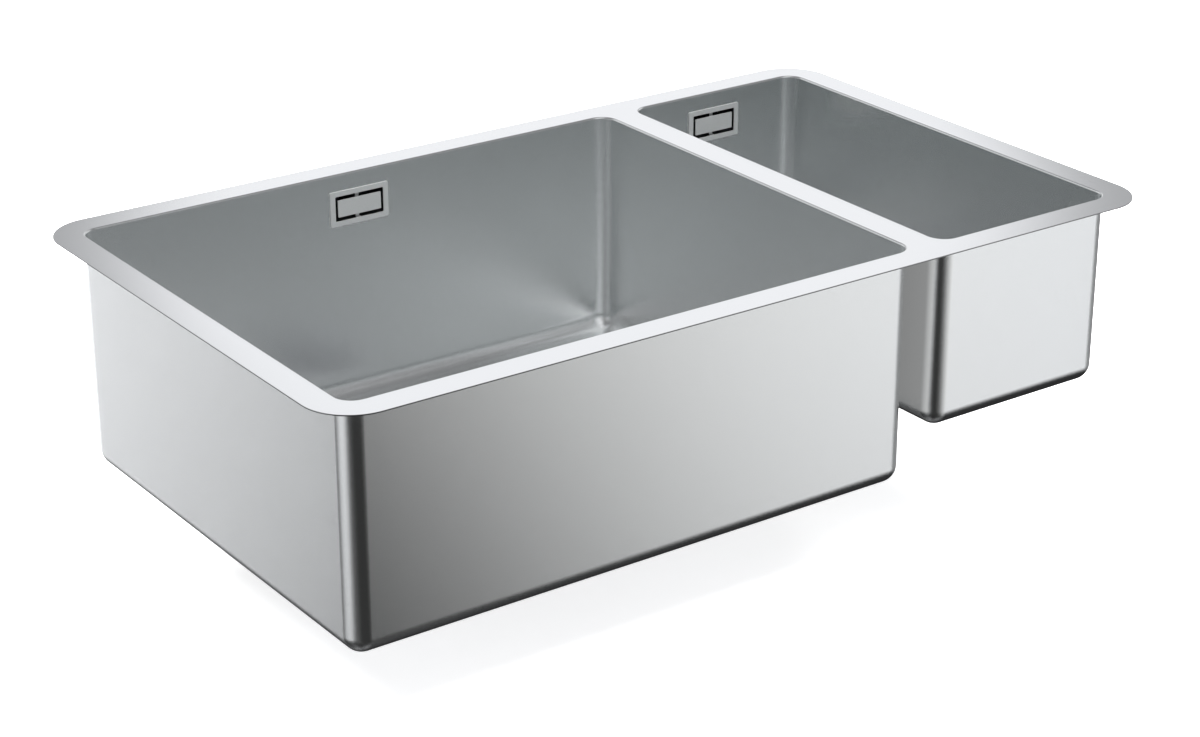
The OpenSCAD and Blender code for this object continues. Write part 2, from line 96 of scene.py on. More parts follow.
# %% Sizes of the steelwork
SIDES = ("large", "small")
SHEET = 1.0 * MM
CORNER_R = 14 * MM
LIP_R = 1.6 * MM
BORDER = 25 * MM
FLOOR_FALL = 2.5 * MM
RECESS_H = 3 * MM
HOLE_R = 45 * MM
FLANGE_R = 56.5
RECESS_R = (FLANGE_R + 2) * MM
TURN_STEPS = 14
UP = Vector((0, 0, 1))


def node_box(name):
    """Low corner, high corner and middle of one CAD node."""
    low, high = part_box(name)
    return low, high, (low + high) / 2


def measure(side):
    """What the frame says of one bowl and its drain."""
    low, high, middle = node_box(f"{side}_bowl")
    recess = low.z + SHEET
    return {
        "x": middle.x,
        "half_w": (high.x - low.x) / 2 - LIP_R,
        "half_d": (high.y - low.y) / 2 - LIP_R,
        "floor": recess + RECESS_H + FLOOR_FALL,
        "drain": Vector((middle.x, node_box(f"{side}_strainer_cup")[2].y, recess)),
    }


BOWLS = {side: measure(side) for side in SIDES}
WALL_Y = BOWLS["large"]["half_d"]
for side in SIDES:
    print(side, {k: round(v / MM, 1) for k, v in BOWLS[side].items() if k != "drain"})

# %% [markdown]
# ## Helpers for the mesh work
# Each piece is drawn in its own bmesh and then becomes one object at the origin. Round pieces are a section
# that is spun round an axis, as a lathe cuts them, and flat pieces are rings of edges that are filled and
# pulled. These first helpers pick elements, turn and pull them, and round their edges.

# %% Picking, turning and rounding
SHARP = math.radians(32)
MERGE = 1e-6
VERT, EDGE, FACE = bmesh.types.BMVert, bmesh.types.BMEdge, bmesh.types.BMFace


def only(geom, kind):
    """The elements of one kind in what an operator made."""
    return [g for g in geom if isinstance(g, kind)]


def edges_at(verts):
    return list(dict.fromkeys(e for v in verts for e in v.link_edges))


def verts_of(elements):
    return list(dict.fromkeys(v for g in elements for v in g.verts))


def spin(bm, geom, centre, axis, angle, steps, climb=(0, 0, 0)):
    """Turns a row of vertices and edges round a line, leaves faces behind and returns the last row."""
    done = bmesh.ops.spin(bm, geom=geom, cent=centre, axis=axis, dvec=climb, angle=angle,
                          steps=steps, use_merge=False, use_duplicate=False)
    return done["geom_last"]


def pull(bm, geom, way, steps=1):
    """A straight pull is a spin that doesn't turn."""
    return spin(bm, geom, (0, 0, 0), UP, 0, steps, Vector(way) / steps)


def round_off(bm, geom, width, segments, affect="EDGES", clamp=True):
    """Rounds edges, or the corners of a flat outline."""
    bmesh.ops.bevel(bm, geom=geom, offset=width, offset_type="OFFSET", affect=affect, segments=segments,
                    profile=0.5, material=-1, clamp_overlap=clamp)


def bevel_sharp(bm, width, segments=3, test=None):
    """Rounds every edge where two faces meet at an angle, or only those that test picks."""
    bmesh.ops.recalc_face_normals(bm, faces=bm.faces)
    edges = [e for e in bm.edges
             if e.is_manifold and e.calc_face_angle() > SHARP and (test is None or test(e))]
    round_off(bm, edges, width, segments)


def circle(bm, place, radius, steps):
    """A ring of edges round the z axis of place."""
    made = bmesh.ops.create_circle(bm, segments=steps, radius=radius, cap_ends=False, matrix=place)
    return edges_at(made["verts"])


def placed(bm, place, draw, *sizes, **more):
    """Lets draw add something to the bmesh and moves only that."""
    before = set(bm.verts)
    draw(bm, *sizes, **more)
    bmesh.ops.transform(bm, matrix=place, verts=[v for v in bm.verts if v not in before])


def face_out(bm, outwards=lambda face: face.normal.z * face.calc_area()):
    """Makes the normals of an open skin agree, and turns them all if outwards adds up to less than 0."""
    bmesh.ops.recalc_face_normals(bm, faces=bm.faces)
    if sum(outwards(face) for face in bm.faces) < 0:
        bmesh.ops.reverse_faces(bm, faces=bm.faces)


# %% [markdown]
# The next helpers draw the simple bodies that nearly every piece is built from: a turned body from its
# section, a plate from its outlines, and a block with round edges. Sections and blocks are given in
# millimetres.

# %% Turned bodies, plates and blocks
def section_line(bm, points, closed=True):
    """A line of edges from (radius, height) or (radius, height, round) points in millimetres."""
    before = set(bm.verts) | set(bm.edges)
    verts = [bm.verts.new((p[0] * MM, 0, p[1] * MM)) for p in points]
    ends = zip(verts, verts[1:] + verts[:1]) if closed else zip(verts, verts[1:])
    for pair in list(ends):
        bm.edges.new(pair)
    for vert, point in zip(verts, points):
        if len(point) > 2:
            round_off(bm, [vert], point[2] * MM, 5, "VERTICES")
    return [g for g in bm.verts[:] + bm.edges[:] if g not in before]


def turn(bm, points, steps=64, closed=True):
    """Spins a section round the z axis into a ring or a solid."""
    bmesh.ops.spin(bm, geom=section_line(bm, points, closed), cent=(0, 0, 0), axis=UP, dvec=(0, 0, 0),
                   angle=math.tau, steps=steps, use_merge=True, use_duplicate=False)
    bmesh.ops.remove_doubles(bm, verts=bm.verts, dist=MERGE)
    bmesh.ops.delete(bm, geom=[e for e in bm.edges if not e.link_faces], context="EDGES")


def rounded_loop(bm, middle, wide, deep, radius, steps=TURN_STEPS):
    """A flat rectangle with round corners, as a ring of edges."""
    before = set(bm.edges)
    place = Matrix.Translation(middle) @ Matrix.Diagonal((wide, deep, 1, 1))
    made = bmesh.ops.create_grid(bm, x_segments=1, y_segments=1, size=0.5, matrix=place)
    round_off(bm, made["verts"], radius, steps, "VERTICES", clamp=False)
    ring = [e for e in bm.edges if e not in before]
    bmesh.ops.delete(bm, geom=list({f for e in ring for f in e.link_faces}), context="FACES_ONLY")
    return ring


def mm_loop(bm, size, radius, z, steps=TURN_STEPS):
    """The same in millimetres, round the z axis."""
    return rounded_loop(bm, (0, 0, z * MM), size[0] * MM, size[1] * MM, radius * MM, steps)


def slab(bm, rings, tall):
    """Fills rings of edges as one flat face with holes and pulls it along z."""
    filled = bmesh.ops.triangle_fill(bm, use_beauty=True, use_dissolve=False, edges=rings, normal=UP)
    made = bmesh.ops.extrude_face_region(bm, geom=only(filled["geom"], FACE), use_keep_orig=True)
    bmesh.ops.translate(bm, verts=only(made["geom"], VERT), vec=UP * tall)


def block(bm, low, high, round_mm):
    """A block between two corners in millimetres, with its edges rounded."""
    low, high = Vector(low) * MM, Vector(high) * MM
    place = Matrix.Translation((low + high) / 2) @ Matrix.Diagonal((*(high - low), 1))
    made = bmesh.ops.create_cube(bm, size=1, matrix=place)
    round_off(bm, edges_at(made["verts"]), round_mm * MM, 3)


def row_of(count, start_deg=0.0):
    """Equal turns round the z axis."""
    return [Matrix.Rotation(math.radians(start_deg) + math.tau * i / count, 4, "Z") for i in range(count)]


# %% [markdown]
# The last helper shades a piece, gives it a material, tells the frame which body carries it and hides the
# CAD node that it stands for. The Weighted Normal modifier keeps big flat faces flat where they meet small
# rounds, which matters a lot on polished steel. A piece with a wall is an open skin whose normals are
# right. Its open edges stay sharp, so that the sheet's cut face doesn't bend the light on its rolled edge.

# %% From mesh to piece
def finish_piece(name, bm, material, node, place=None, wall=0.0, body="sink"):
    """Makes the bmesh an object at the origin."""
    if place is not None:
        bmesh.ops.transform(bm, matrix=place, verts=bm.verts)
    bmesh.ops.remove_doubles(bm, verts=bm.verts, dist=MERGE)
    if not wall:
        bmesh.ops.recalc_face_normals(bm, faces=bm.faces)
    for edge in bm.edges:
        if edge.is_boundary:
            edge.smooth = False
    mesh = bpy.data.meshes.new(name)
    bm.to_mesh(mesh)
    bm.free()
    mesh.shade_smooth()
    if not wall:
        mesh.set_sharp_from_angle(angle=SHARP)
    piece = bpy.data.objects.new(name, mesh)
    bpy.context.scene.collection.objects.link(piece)
    mesh.materials.append(material)
    if wall:
        shell = piece.modifiers.new("sheet", "SOLIDIFY")
        shell.thickness = wall
        shell.offset = -1
        shell.use_even_offset = True
    flat = piece.modifiers.new("flat faces", "WEIGHTED_NORMAL")
    flat.keep_sharp = True
    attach(piece, body)
    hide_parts(node)
    print(name, len(mesh.polygons), "faces")


# %% [markdown]
# ## Finishes
# Steel gets its look from how its surface breaks up a reflection, so its colour is nearly plain and the
# work is in roughness and normals. Image textures could do that, but they don't keep their scale on every
# piece. Node groups in Object coordinates do, and each group is one effect that several finishes share.

# %% Node helpers
VECTOR, NUMBER = "NodeSocketVector", "NodeSocketFloat"
MIX_SOCKETS = {"RGBA": (6, 7, 2), "FLOAT": (2, 3, 0)}


def feed(tree, node, sockets):
    """Gives each input, by name or number, a value or another node's output."""
    for key, value in sockets.items():
        if isinstance(value, bpy.types.NodeSocket):
            tree.links.new(value, node.inputs[key])
        else:
            node.inputs[key].default_value = value
    return node


def add(tree, kind, sockets=None, **settings):
    """A new node with its settings and its inputs."""
    node = tree.nodes.new(kind)
    for key, value in settings.items():
        setattr(node, key, value)
    return feed(tree, node, sockets or {})


def blend(tree, mask, first, second, kind="RGBA"):
    """Goes from the first colour or number to the second with a mask."""
    low, high, result = MIX_SOCKETS[kind]
    return add(tree, "ShaderNodeMix", {0: mask, low: first, high: second}, data_type=kind).outputs[result]


def effect(name, output, given, build):
    """A shader group. given holds the inputs beside Vector, each with its start value or None for a vector,
    and build wires them and returns the socket that the group puts out."""
    tree = bpy.data.node_groups.new(name, "ShaderNodeTree")
    tree.interface.new_socket("Vector", in_out="INPUT", socket_type=VECTOR)
    for label, value in given.items():
        kind = VECTOR if value is None else NUMBER
        socket = tree.interface.new_socket(label, in_out="INPUT", socket_type=kind)
        if value is not None:
            socket.default_value = value
    tree.interface.new_socket(output, in_out="OUTPUT", socket_type=NUMBER)
    result = build(tree, tree.nodes.new("NodeGroupInput").outputs)
    feed(tree, tree.nodes.new("NodeGroupOutput"), {output: result})
    return tree


# %% [markdown]
# Four effects cover every finish here. Rolled and ground steel has fine lines that run one way. A sheet
# that was drawn and handled is a little cloudy. A turned or spun piece has rings round its axis. Moulded
# plastic and rubber have the fine pebbled skin of their mould. Each is a mask between 0 and 1 that a finish
# uses as it needs.

# %% Shared effects
def grain_mask(tree, given):
    noise = add(tree, "ShaderNodeTexNoise", {
        "Vector": given["Vector"], "Scale": given["Lines per Metre"], "Detail": 3.0, "Roughness": 0.6})
    low, high = (add(tree, "ShaderNodeMath", {0: given["Contrast"], 1: factor, 2: rest},
                     operation="MULTIPLY_ADD").outputs[0] for factor, rest in ((0.5, 0.0), (-0.5, 1.0)))
    return add(tree, "ShaderNodeMapRange", {
        "Value": noise.outputs["Fac"], "From Min": low, "From Max": high},
        interpolation_type="SMOOTHSTEP").outputs["Result"]


def cloud_mask(tree, given):
    return add(tree, "ShaderNodeTexNoise", {
        "Vector": given["Vector"], "Scale": given["Patches per Metre"], "Detail": 4.0,
        "Roughness": 0.55}).outputs["Fac"]


def ring_mask(tree, given):
    from_axis = add(tree, "ShaderNodeVectorMath", {0: given["Vector"], 1: given["Axis"]},
                    operation="SUBTRACT")
    level = add(tree, "ShaderNodeVectorMath", {0: from_axis.outputs[0], 1: (1, 1, 0)}, operation="MULTIPLY")
    radius = add(tree, "ShaderNodeVectorMath", {0: level.outputs[0]}, operation="LENGTH")
    return add(tree, "ShaderNodeTexNoise", {
        "W": radius.outputs["Value"], "Scale": given["Rings per Metre"], "Detail": 2.0, "Roughness": 0.7},
        noise_dimensions="1D").outputs["Fac"]


def skin_mask(tree, given):
    return add(tree, "ShaderNodeTexVoronoi", {
        "Vector": given["Vector"], "Scale": given["Pebbles per Metre"], "Smoothness": 0.6},
        feature="SMOOTH_F1").outputs["Distance"]


GRAIN = effect("fine grain", "Mask", {"Lines per Metre": 2500.0, "Contrast": 0.5}, grain_mask)
CLOUDS = effect("cloudy patches", "Mask", {"Patches per Metre": 9.0}, cloud_mask)
RINGS = effect("turned rings", "Mask", {"Axis": None, "Rings per Metre": 1800.0}, ring_mask)
SKIN = effect("moulded skin", "Mask", {"Pebbles per Metre": 1500.0}, skin_mask)
print("groups", [g.name for g in bpy.data.node_groups])

# %% [markdown]
# Small helpers wire an effect into a finish: the pattern's place on the piece, a number that follows a
# mask, a colour that follows it, and a bump. A bump takes its height from the mask, so one mask can tint a
# scratch, dull it and cut it at the same time, as a real scratch does.

# %% Wiring helpers
def object_vector(tree, stretch=(1, 1, 1)):
    """Object coordinates, squeezed where a pattern is stretched."""
    where = add(tree, "ShaderNodeTexCoord").outputs["Object"]
    return add(tree, "ShaderNodeMapping", {"Vector": where, "Scale": stretch}).outputs["Vector"]


def place_effect(tree, group, vector, given=None):
    """One effect with this finish's own values."""
    node = add(tree, "ShaderNodeGroup", {"Vector": vector, **(given or {})}, node_tree=group)
    return node.outputs[0]


def shade_range(tree, mask, low, high):
    """A number that goes from low to high with a mask."""
    return add(tree, "ShaderNodeMapRange", {"Value": mask, "To Min": low, "To Max": high}).outputs["Result"]


def tint(tree, mask, colour, spread):
    """A colour that gets a little darker and lighter with a mask."""
    return blend(tree, mask, [c * (1 - spread) for c in colour] + [1],
                 [min(1, c * (1 + spread)) for c in colour] + [1])


def relief(tree, mask, depth, strength, under=None):
    """A bump from a mask, laid over another one if that is given."""
    sockets = {"Height": mask, "Strength": strength, "Distance": depth}
    if under is not None:
        sockets["Normal"] = under
    return add(tree, "ShaderNodeBump", sockets).outputs["Normal"]


def new_finish(name, metallic=0.0):
    material = bpy.data.materials.new(name)
    material.use_nodes = True
    tree = material.node_tree
    shader = feed(tree, tree.nodes["Principled BSDF"], {"Metallic": metallic})
    return material, tree, shader


# %% [markdown]
# A sheet steel finish mixes two effects: the grain tints the colour a little and cuts small scratches, and
# the clouds make the gloss a little uneven. How much of each is what tells a polished deck from a satin
# bowl.

# %% Sheet steel
STEEL_TINT, STEEL_DEPTH = 0.03, 0.2 * MM
CUT_GLOSS = 0.35


def sheet_steel(name, colour, gloss, scratch, stretch=(1, 1, 1), lines=2500.0, uneven=0.02, painted_edge_shade=1.0,
                metallic=1.0):
    """gloss is the roughness, scratch the strength of the grain and uneven how much the gloss wanders.
    painted_edge_shade is how light the upright faces, the sheet's cut edges, are painted: painted shade that
    draws a dark line along the plate's edge. A blasted finish is a little less metallic, because its pits
    scatter light as paint does."""
    material, tree, shader = new_finish(name, metallic)
    fine = place_effect(tree, GRAIN, object_vector(tree, stretch), {"Lines per Metre": lines})
    slow = place_effect(tree, CLOUDS, object_vector(tree))
    shade = tint(tree, fine, colour, STEEL_TINT)
    roughness = shade_range(tree, slow, gloss - uneven, gloss + uneven)
    # Painted shade: the upright faces get a darker colour and a duller gloss, which draws a dark line along
    # the plate's edge.
    if painted_edge_shade < 1:
        normal = add(tree, "ShaderNodeTexCoord").outputs["Normal"]
        upward = add(tree, "ShaderNodeSeparateXYZ", {0: normal}).outputs["Z"]
        level = add(tree, "ShaderNodeMath", {0: upward}, operation="ABSOLUTE").outputs[0]
        shade = blend(tree, level, [c * painted_edge_shade for c in colour] + [1], shade)
        roughness = blend(tree, level, CUT_GLOSS, roughness, "FLOAT")
    feed(tree, shader, {"Base Color": shade, "Roughness": roughness,
                        "Normal": relief(tree, fine, STEEL_DEPTH, scratch)})
    return material


# The deck's upright faces are painted at a quarter of its colour: a painted shade line along its edge.
DECK_STEEL = sheet_steel("deck steel", (0.80, 0.81, 0.82), 0.085, 0.03, uneven=0.01, painted_edge_shade=0.25)
BOWL_STEEL = sheet_steel("bowl steel", (0.825, 0.84, 0.84), 0.14, 0.20)
FRAME_STEEL = sheet_steel("frame steel", (0.86, 0.88, 0.875), 0.42, 0.30, stretch=(0.06, 1, 1),
                          lines=5000.0, metallic=0.75)
print("sheet steels", DECK_STEEL.name, BOWL_STEEL.name, FRAME_STEEL.name)

# %% [markdown]
# The strainer, the screws and the inserts are turned on a lathe or spun, and the tool leaves fine rings
# round the axis. The wastes of the two bowls have different axes, so each side gets its own copy of such a
# finish.

# %% Turned metal
RING_STRENGTH, TURNED_TINT, GLOSS_SWING = 0.6, 0.04, 0.2
FINE_LINES = 3000.0


def turned_metal(name, colour, gloss, depth):
    """One finish for each side, with its rings round that side's drain."""
    made = {}
    for side in SIDES:
        material, tree, shader = new_finish(f"{side} {name}", metallic=1.0)
        place = object_vector(tree)
        rings = place_effect(tree, RINGS, place, {"Axis": BOWLS[side]["drain"]})
        fine = place_effect(tree, GRAIN, place, {"Lines per Metre": FINE_LINES})
        feed(tree, shader, {
            "Base Color": tint(tree, fine, colour, TURNED_TINT),
            "Roughness": shade_range(tree, rings, gloss * (1 - GLOSS_SWING), gloss * (1 + GLOSS_SWING)),
            "Normal": relief(tree, rings, depth, RING_STRENGTH)})
        made[side] = material
    return made


BRIGHT_STEEL = turned_metal("bright steel", (0.82, 0.83, 0.84), 0.10, 0.02 * MM)
SCREW_STEEL = turned_metal("screw steel", (0.66, 0.67, 0.68), 0.26, 0.04 * MM)
BRASS = turned_metal("brass", (0.74, 0.55, 0.26), 0.24, 0.04 * MM)
print("turned metals", len(BRIGHT_STEEL) + len(SCREW_STEEL) + len(BRASS))

# %% [markdown]
# Rubber, plastic and the sound pad are moulded. The pebbled skin gives them their bump and tints the tops
# of the pebbles lighter, and the clouds make the gloss wander. The pad is pressed
# with a net of small squares, which two waves across each other make.

# %% Moulded finishes
SKIN_TINT, SKIN_DEPTH, SKIN_SWING, SKIN_PATCHES = 0.18, 0.1 * MM, 0.06, 25.0
NET_PER_METRE, NET_DEPTH, NET_STRENGTH = 50, 0.8 * MM, 0.7


def moulded(name, colour, gloss, pebbles, strength, net=False):
    material, tree, shader = new_finish(name)
    place = object_vector(tree)
    skin = place_effect(tree, SKIN, place, {"Pebbles per Metre": pebbles})
    slow = place_effect(tree, CLOUDS, place, {"Patches per Metre": SKIN_PATCHES})
    surface = relief(tree, skin, SKIN_DEPTH, strength)
    if net:
        waves = [add(tree, "ShaderNodeTexWave", {"Vector": place, "Scale": NET_PER_METRE},
                     wave_type="BANDS", bands_direction=way).outputs["Fac"] for way in ("X", "Y")]
        height = add(tree, "ShaderNodeMath", {0: waves[0], 1: waves[1]}, operation="MINIMUM").outputs[0]
        surface = relief(tree, height, NET_DEPTH, NET_STRENGTH, surface)
    feed(tree, shader, {
        "Base Color": tint(tree, skin, colour, SKIN_TINT),
        "Roughness": shade_range(tree, slow, gloss - SKIN_SWING, gloss + SKIN_SWING),
        "Normal": surface})
    return material


RUBBER = moulded("black rubber", (0.028, 0.028, 0.031), 0.62, 1900.0, 0.35)
PLASTIC = moulded("black plastic", (0.032, 0.033, 0.036), 0.40, 1300.0, 0.30)
PAD = moulded("grey pad", (0.135, 0.14, 0.15), 0.70, 900.0, 0.40, net=True)
print("moulded finishes", RUBBER.name, PLASTIC.name, PAD.name)

# %% [markdown]
# ## The bowls
# A bowl is drawn from one sheet, so its thickness is the same everywhere and every edge is round. A cube
# with bevelled edges comes close, but its floor could not fall to the drain. Here one skin is drawn the way
# the press moves the steel: the floor is spread from the drain, each side of it is driven up a round, up
# the wall and over the rolled edge, and the section at each corner is spun a quarter turn. A Solidify
# modifier gives the sheet.

# %% Floor of a bowl
RAYS = 128
FLOOR_DIP = 1.5 * MM
DISH_SLOPE = 2 * MM
DISH_ROUND = 1.4 * MM


def bowl_floor(bm, bowl, core):
    """Spreads the floor from a ring round the drain to its four sides and returns the ring."""
    drain = bowl["drain"]
    ring_at = Vector((drain.x, drain.y, bowl["floor"] - FLOOR_DIP))
    ring = circle(bm, Matrix.Translation(ring_at), RECESS_R + DISH_SLOPE, RAYS)
    reach = only(bmesh.ops.extrude_edge_only(bm, edges=ring)["geom"], VERT)
    for v in reach:
        way = (v.co - ring_at).normalized()
        along_x = core.x / max(abs(way.x), MERGE)
        along_y = (core.y - math.copysign(drain.y, way.y)) / max(abs(way.y), MERGE)
        v.co = ring_at + way * min(along_x, along_y)
        v.co.z = bowl["floor"]
    for sx in (-1, 1):
        for sy in (-1, 1):
            corner = Vector((bowl["x"] + sx * core.x, sy * core.y, bowl["floor"]))
            min(reach, key=lambda v: (v.co - corner).length).co = corner
    return ring


def recess(bm, ring, drain):
    """The dish for the strainer's flange and the drain hole, from the ring inwards."""
    bends = []
    for radius in (RECESS_R, HOLE_R):
        made = bmesh.ops.extrude_edge_only(bm, edges=ring)["geom"]
        for v in only(made, VERT):
            way = Vector((v.co.x - drain.x, v.co.y - drain.y, 0)).normalized()
            v.co = drain + way * radius
        bends += ring
        ring = [e for e in only(made, EDGE)
                if all(abs((v.co - drain).xy.length - radius) < MERGE for v in e.verts)]
    round_off(bm, bends, DISH_ROUND, 4)


# %% Walls of a bowl
LIP_STEPS = 5
WINDOW_RIM = Vector((2.8 * MM, 0, 2.8 * MM))
WAYS = [Vector(way) for way in ((1, 0, 0), (0, 1, 0), (-1, 0, 0), (0, -1, 0))]


def section(bm, geom, outward, foot):
    """Drives geom from the floor's edge up the round, the wall and the rolled edge."""
    round_top = foot.z + CORNER_R
    row = spin(bm, geom, (foot.x, foot.y, round_top), (-UP).cross(outward), math.pi / 2, TURN_STEPS)
    row = pull(bm, row, UP * (-LIP_R - round_top))
    over = foot + outward * (CORNER_R + LIP_R)
    spin(bm, row, (over.x, over.y, -LIP_R), (-outward).cross(UP), math.pi / 2, LIP_STEPS)


def wall_hole(bm, low, high):
    """Opens the back wall for the overflow. The wall is a row of upright strips: those whose middles lie in
    the window are cut at its foot and top, and the overflow's frame covers where they end at the sides."""
    def strips(*axes):
        """The wall's faces whose middles lie between the two corners on these axes."""
        middles = [(face, face.calc_center_median()) for face in bm.faces]
        return [face for face, at in middles
                if abs(at.y - WALL_Y) < 10 * MERGE and all(low[a] < at[a] < high[a] for a in axes)]

    for corner in (low, high):
        faces = strips(0)
        edges = list(dict.fromkeys(e for f in faces for e in f.edges))
        bmesh.ops.bisect_plane(bm, geom=faces + edges + verts_of(faces), dist=MERGE / 10, plane_co=corner,
                               plane_no=UP)
    bmesh.ops.delete(bm, geom=strips(0, 2), context="FACES")


# %% Bowls
def bowl_piece(side):
    bowl = BOWLS[side]
    centre = Vector((bowl["x"], 0, bowl["floor"]))
    core = Vector((bowl["half_w"] - CORNER_R, bowl["half_d"] - CORNER_R, 0))
    feet = [centre + way * abs(way.dot(core)) for way in WAYS]
    bm = bmesh.new()
    recess(bm, bowl_floor(bm, bowl, core), bowl["drain"])
    sides = [[e for e in bm.edges
              if all(abs((v.co - foot).dot(way)) < MERGE and abs(v.co.z - foot.z) < MERGE for v in e.verts)]
             for way, foot in zip(WAYS, feet)]
    for way, foot, edges in zip(WAYS, feet, sides):
        section(bm, edges + verts_of(edges), way, foot)
    for way, foot, next_foot in zip(WAYS, feet, feet[1:] + feet[:1]):
        corner = foot + next_foot - centre
        known = set(bm.verts) | set(bm.edges)
        section(bm, [bm.verts.new(corner)], way, corner)
        chain = [g for g in bm.verts[:] + bm.edges[:] if g not in known]
        spin(bm, chain, corner, UP, math.pi / 2, TURN_STEPS)
    bmesh.ops.remove_doubles(bm, verts=bm.verts, dist=2 * MERGE)
    low, high = node_box(f"{side}_overflow_gasket")[:2]
    wall_hole(bm, low + WINDOW_RIM, high - WINDOW_RIM)
    face_out(bm)
    finish_piece(f"{side}_bowl_sheet", bm, BOWL_STEEL, f"{side}_bowl", wall=SHEET)


for side in SIDES:
    bowl_piece(side)

# %% [markdown]
# ## The deck
# The deck is one flat plate with two openings. Its outline and its openings are drawn as rings, filled as
# one face and pulled down by the sheet's thickness. A laser cuts such plates, and a light grind breaks the
# edge, so only the outer edges get a very small round. The openings stay sharp, because the bowls are
# welded flush in them.

# %% Deck plate
OUTLINE_STEPS = 24
GROUND_EDGE = 0.2 * MM


def deck_piece():
    low, high, middle = node_box("deck_plate")
    size = high - low
    bm = bmesh.new()
    rounded_loop(bm, (middle.x, middle.y, 0), size.x, size.y, BORDER + CORNER_R, OUTLINE_STEPS)
    for bowl in BOWLS.values():
        rounded_loop(bm, (bowl["x"], 0, 0), 2 * (bowl["half_w"] + LIP_R), 2 * (bowl["half_d"] + LIP_R),
                     CORNER_R + LIP_R)
    slab(bm, bm.edges[:], -SHEET)

    def outside(edge):
        at = (edge.verts[0].co + edge.verts[1].co) / 2
        return abs(at.x) > size.x / 2 - BORDER / 2 or abs(at.y) > size.y / 2 - BORDER / 2

    bevel_sharp(bm, GROUND_EDGE, 2, outside)
    finish_piece("deck_sheet", bm, DECK_STEEL, "deck_plate")


deck_piece()

# %% [markdown]
# ## Overflows
# Water that rises to a bowl's rim leaves through a window in the back wall. A thin stamped frame covers the
# cut edge of the wall, a strap behind it takes the screw, and a bare plate fills the middle, so that only a
# narrow slot shows round it. Everything is drawn flat with +Z towards the viewer, and one matrix stands it
# on the wall.

# %% Overflow sizes and places
FRAME_SIZE, WINDOW_SIZE, PLATE_SIZE = (55.0, 30.0), (45.6, 21.4), (40.6, 14.6)
FRAME_ROUND, WINDOW_ROUND, PLATE_ROUND = 1.2, 1.0, 0.5
FRAME_T, PLATE_T = 0.8, 1.0
FRAME_EDGE, FINE_ROUND = 0.22, 0.2
STRAP_W, STRAP_T, STRAP_BACK, STRAP_ROUND = 3.4, 0.9, 3.2, 0.15
BOSS_BORE_R, BOSS_R = 2.3, 5.2
LEG_R, LEG_Y = 1.2, 5.5
OVERFLOW = {}
for side in SIDES:
    middle = node_box(f"{side}_overflow_plate")[2]
    OVERFLOW[side] = Matrix.Translation((middle.x, WALL_Y, middle.z)) @ Matrix.Rotation(math.pi / 2, 4, "X")
    print(side, "overflow at", [round(v / MM, 1) for v in OVERFLOW[side].to_translation()])


# %% Overflow frame and plate
def overflow_frame(side):
    bm = bmesh.new()
    rings = mm_loop(bm, FRAME_SIZE, FRAME_ROUND, FRAME_T, 6)
    rings += mm_loop(bm, WINDOW_SIZE, WINDOW_ROUND, FRAME_T, 6)
    slab(bm, rings, -FRAME_T * MM)
    bevel_sharp(bm, FRAME_EDGE * MM)
    half, foot, back = STRAP_W / 2, WINDOW_SIZE[1] / 2, -STRAP_BACK - STRAP_T
    for near, far in ((-foot - STRAP_T, -foot), (foot, foot + STRAP_T)):
        block(bm, (-half, near, back), (half, far, FRAME_T / 2), STRAP_ROUND)
    block(bm, (-half, -foot - STRAP_T, back), (half, foot + STRAP_T, -STRAP_BACK), STRAP_ROUND)
    turn(bm, [(BOSS_BORE_R, -STRAP_BACK), (BOSS_R, -STRAP_BACK, FINE_ROUND), (BOSS_R, back, FINE_ROUND),
              (BOSS_BORE_R, back)], steps=40)
    finish_piece(f"{side}_overflow_frame_bright", bm, FRAME_STEEL, f"{side}_overflow_frame",
                 OVERFLOW[side])


def overflow_plate(side):
    bm = bmesh.new()
    slab(bm, mm_loop(bm, PLATE_SIZE, PLATE_ROUND, FRAME_T, 6), -PLATE_T * MM)
    bevel_sharp(bm, FINE_ROUND * MM)
    leg = [(0, 0), (LEG_R, 0), (LEG_R, -STRAP_BACK, FINE_ROUND), (0, -STRAP_BACK)]
    for y in (-LEG_Y, LEG_Y):
        placed(bm, Matrix.Translation((0, y * MM, 0)), turn, leg, steps=20)
    finish_piece(f"{side}_overflow_plate_bare", bm, FRAME_STEEL, f"{side}_overflow_plate",
                 OVERFLOW[side])


for side in SIDES:
    overflow_frame(side)
    overflow_plate(side)

# %% [markdown]
# ## The strainer cup
# The cup is pressed from one sheet with a flange that sits in the floor's recess. Its section is a thin
# bent strip with a round at every bend, spun round the drain's axis. A spider of four arms and a hub hold
# it from below.

# %% Strainer cup
AT_DRAIN = {side: Matrix.Translation(BOWLS[side]["drain"]) for side in SIDES}
CUP_FLOOR = -32.1
HUB_BORE_R, HUB_R, HUB_TOP, HUB_BOTTOM, HUB_ROUND = 3.3, 8, CUP_FLOOR - 3, CUP_FLOOR - 6, 0.4
ARM_LOW, ARM_HIGH = (7, -1.6, CUP_FLOOR - 5), (23, 1.6, CUP_FLOOR - 0.5)
CUP_SECTION = [
    (FLANGE_R, 0.75), (FLANGE_R, 2.5, 0.9), (43.4, 2.5, 1.2), (43.4, -2.5, 0.4), (39.4, -2.5, 0.9),
    (39.4, CUP_FLOOR, 1.2), (22, CUP_FLOOR, 0.3), (22, CUP_FLOOR - 1, 0.3), (40.4, CUP_FLOOR - 1, 1.8),
    (40.4, -3.5, 0.3), (44.4, -3.5, 0.9), (44.4, 1.5, 0.3), (FLANGE_R - 1, 1.5, 0.2), (FLANGE_R - 1, 0.75)]


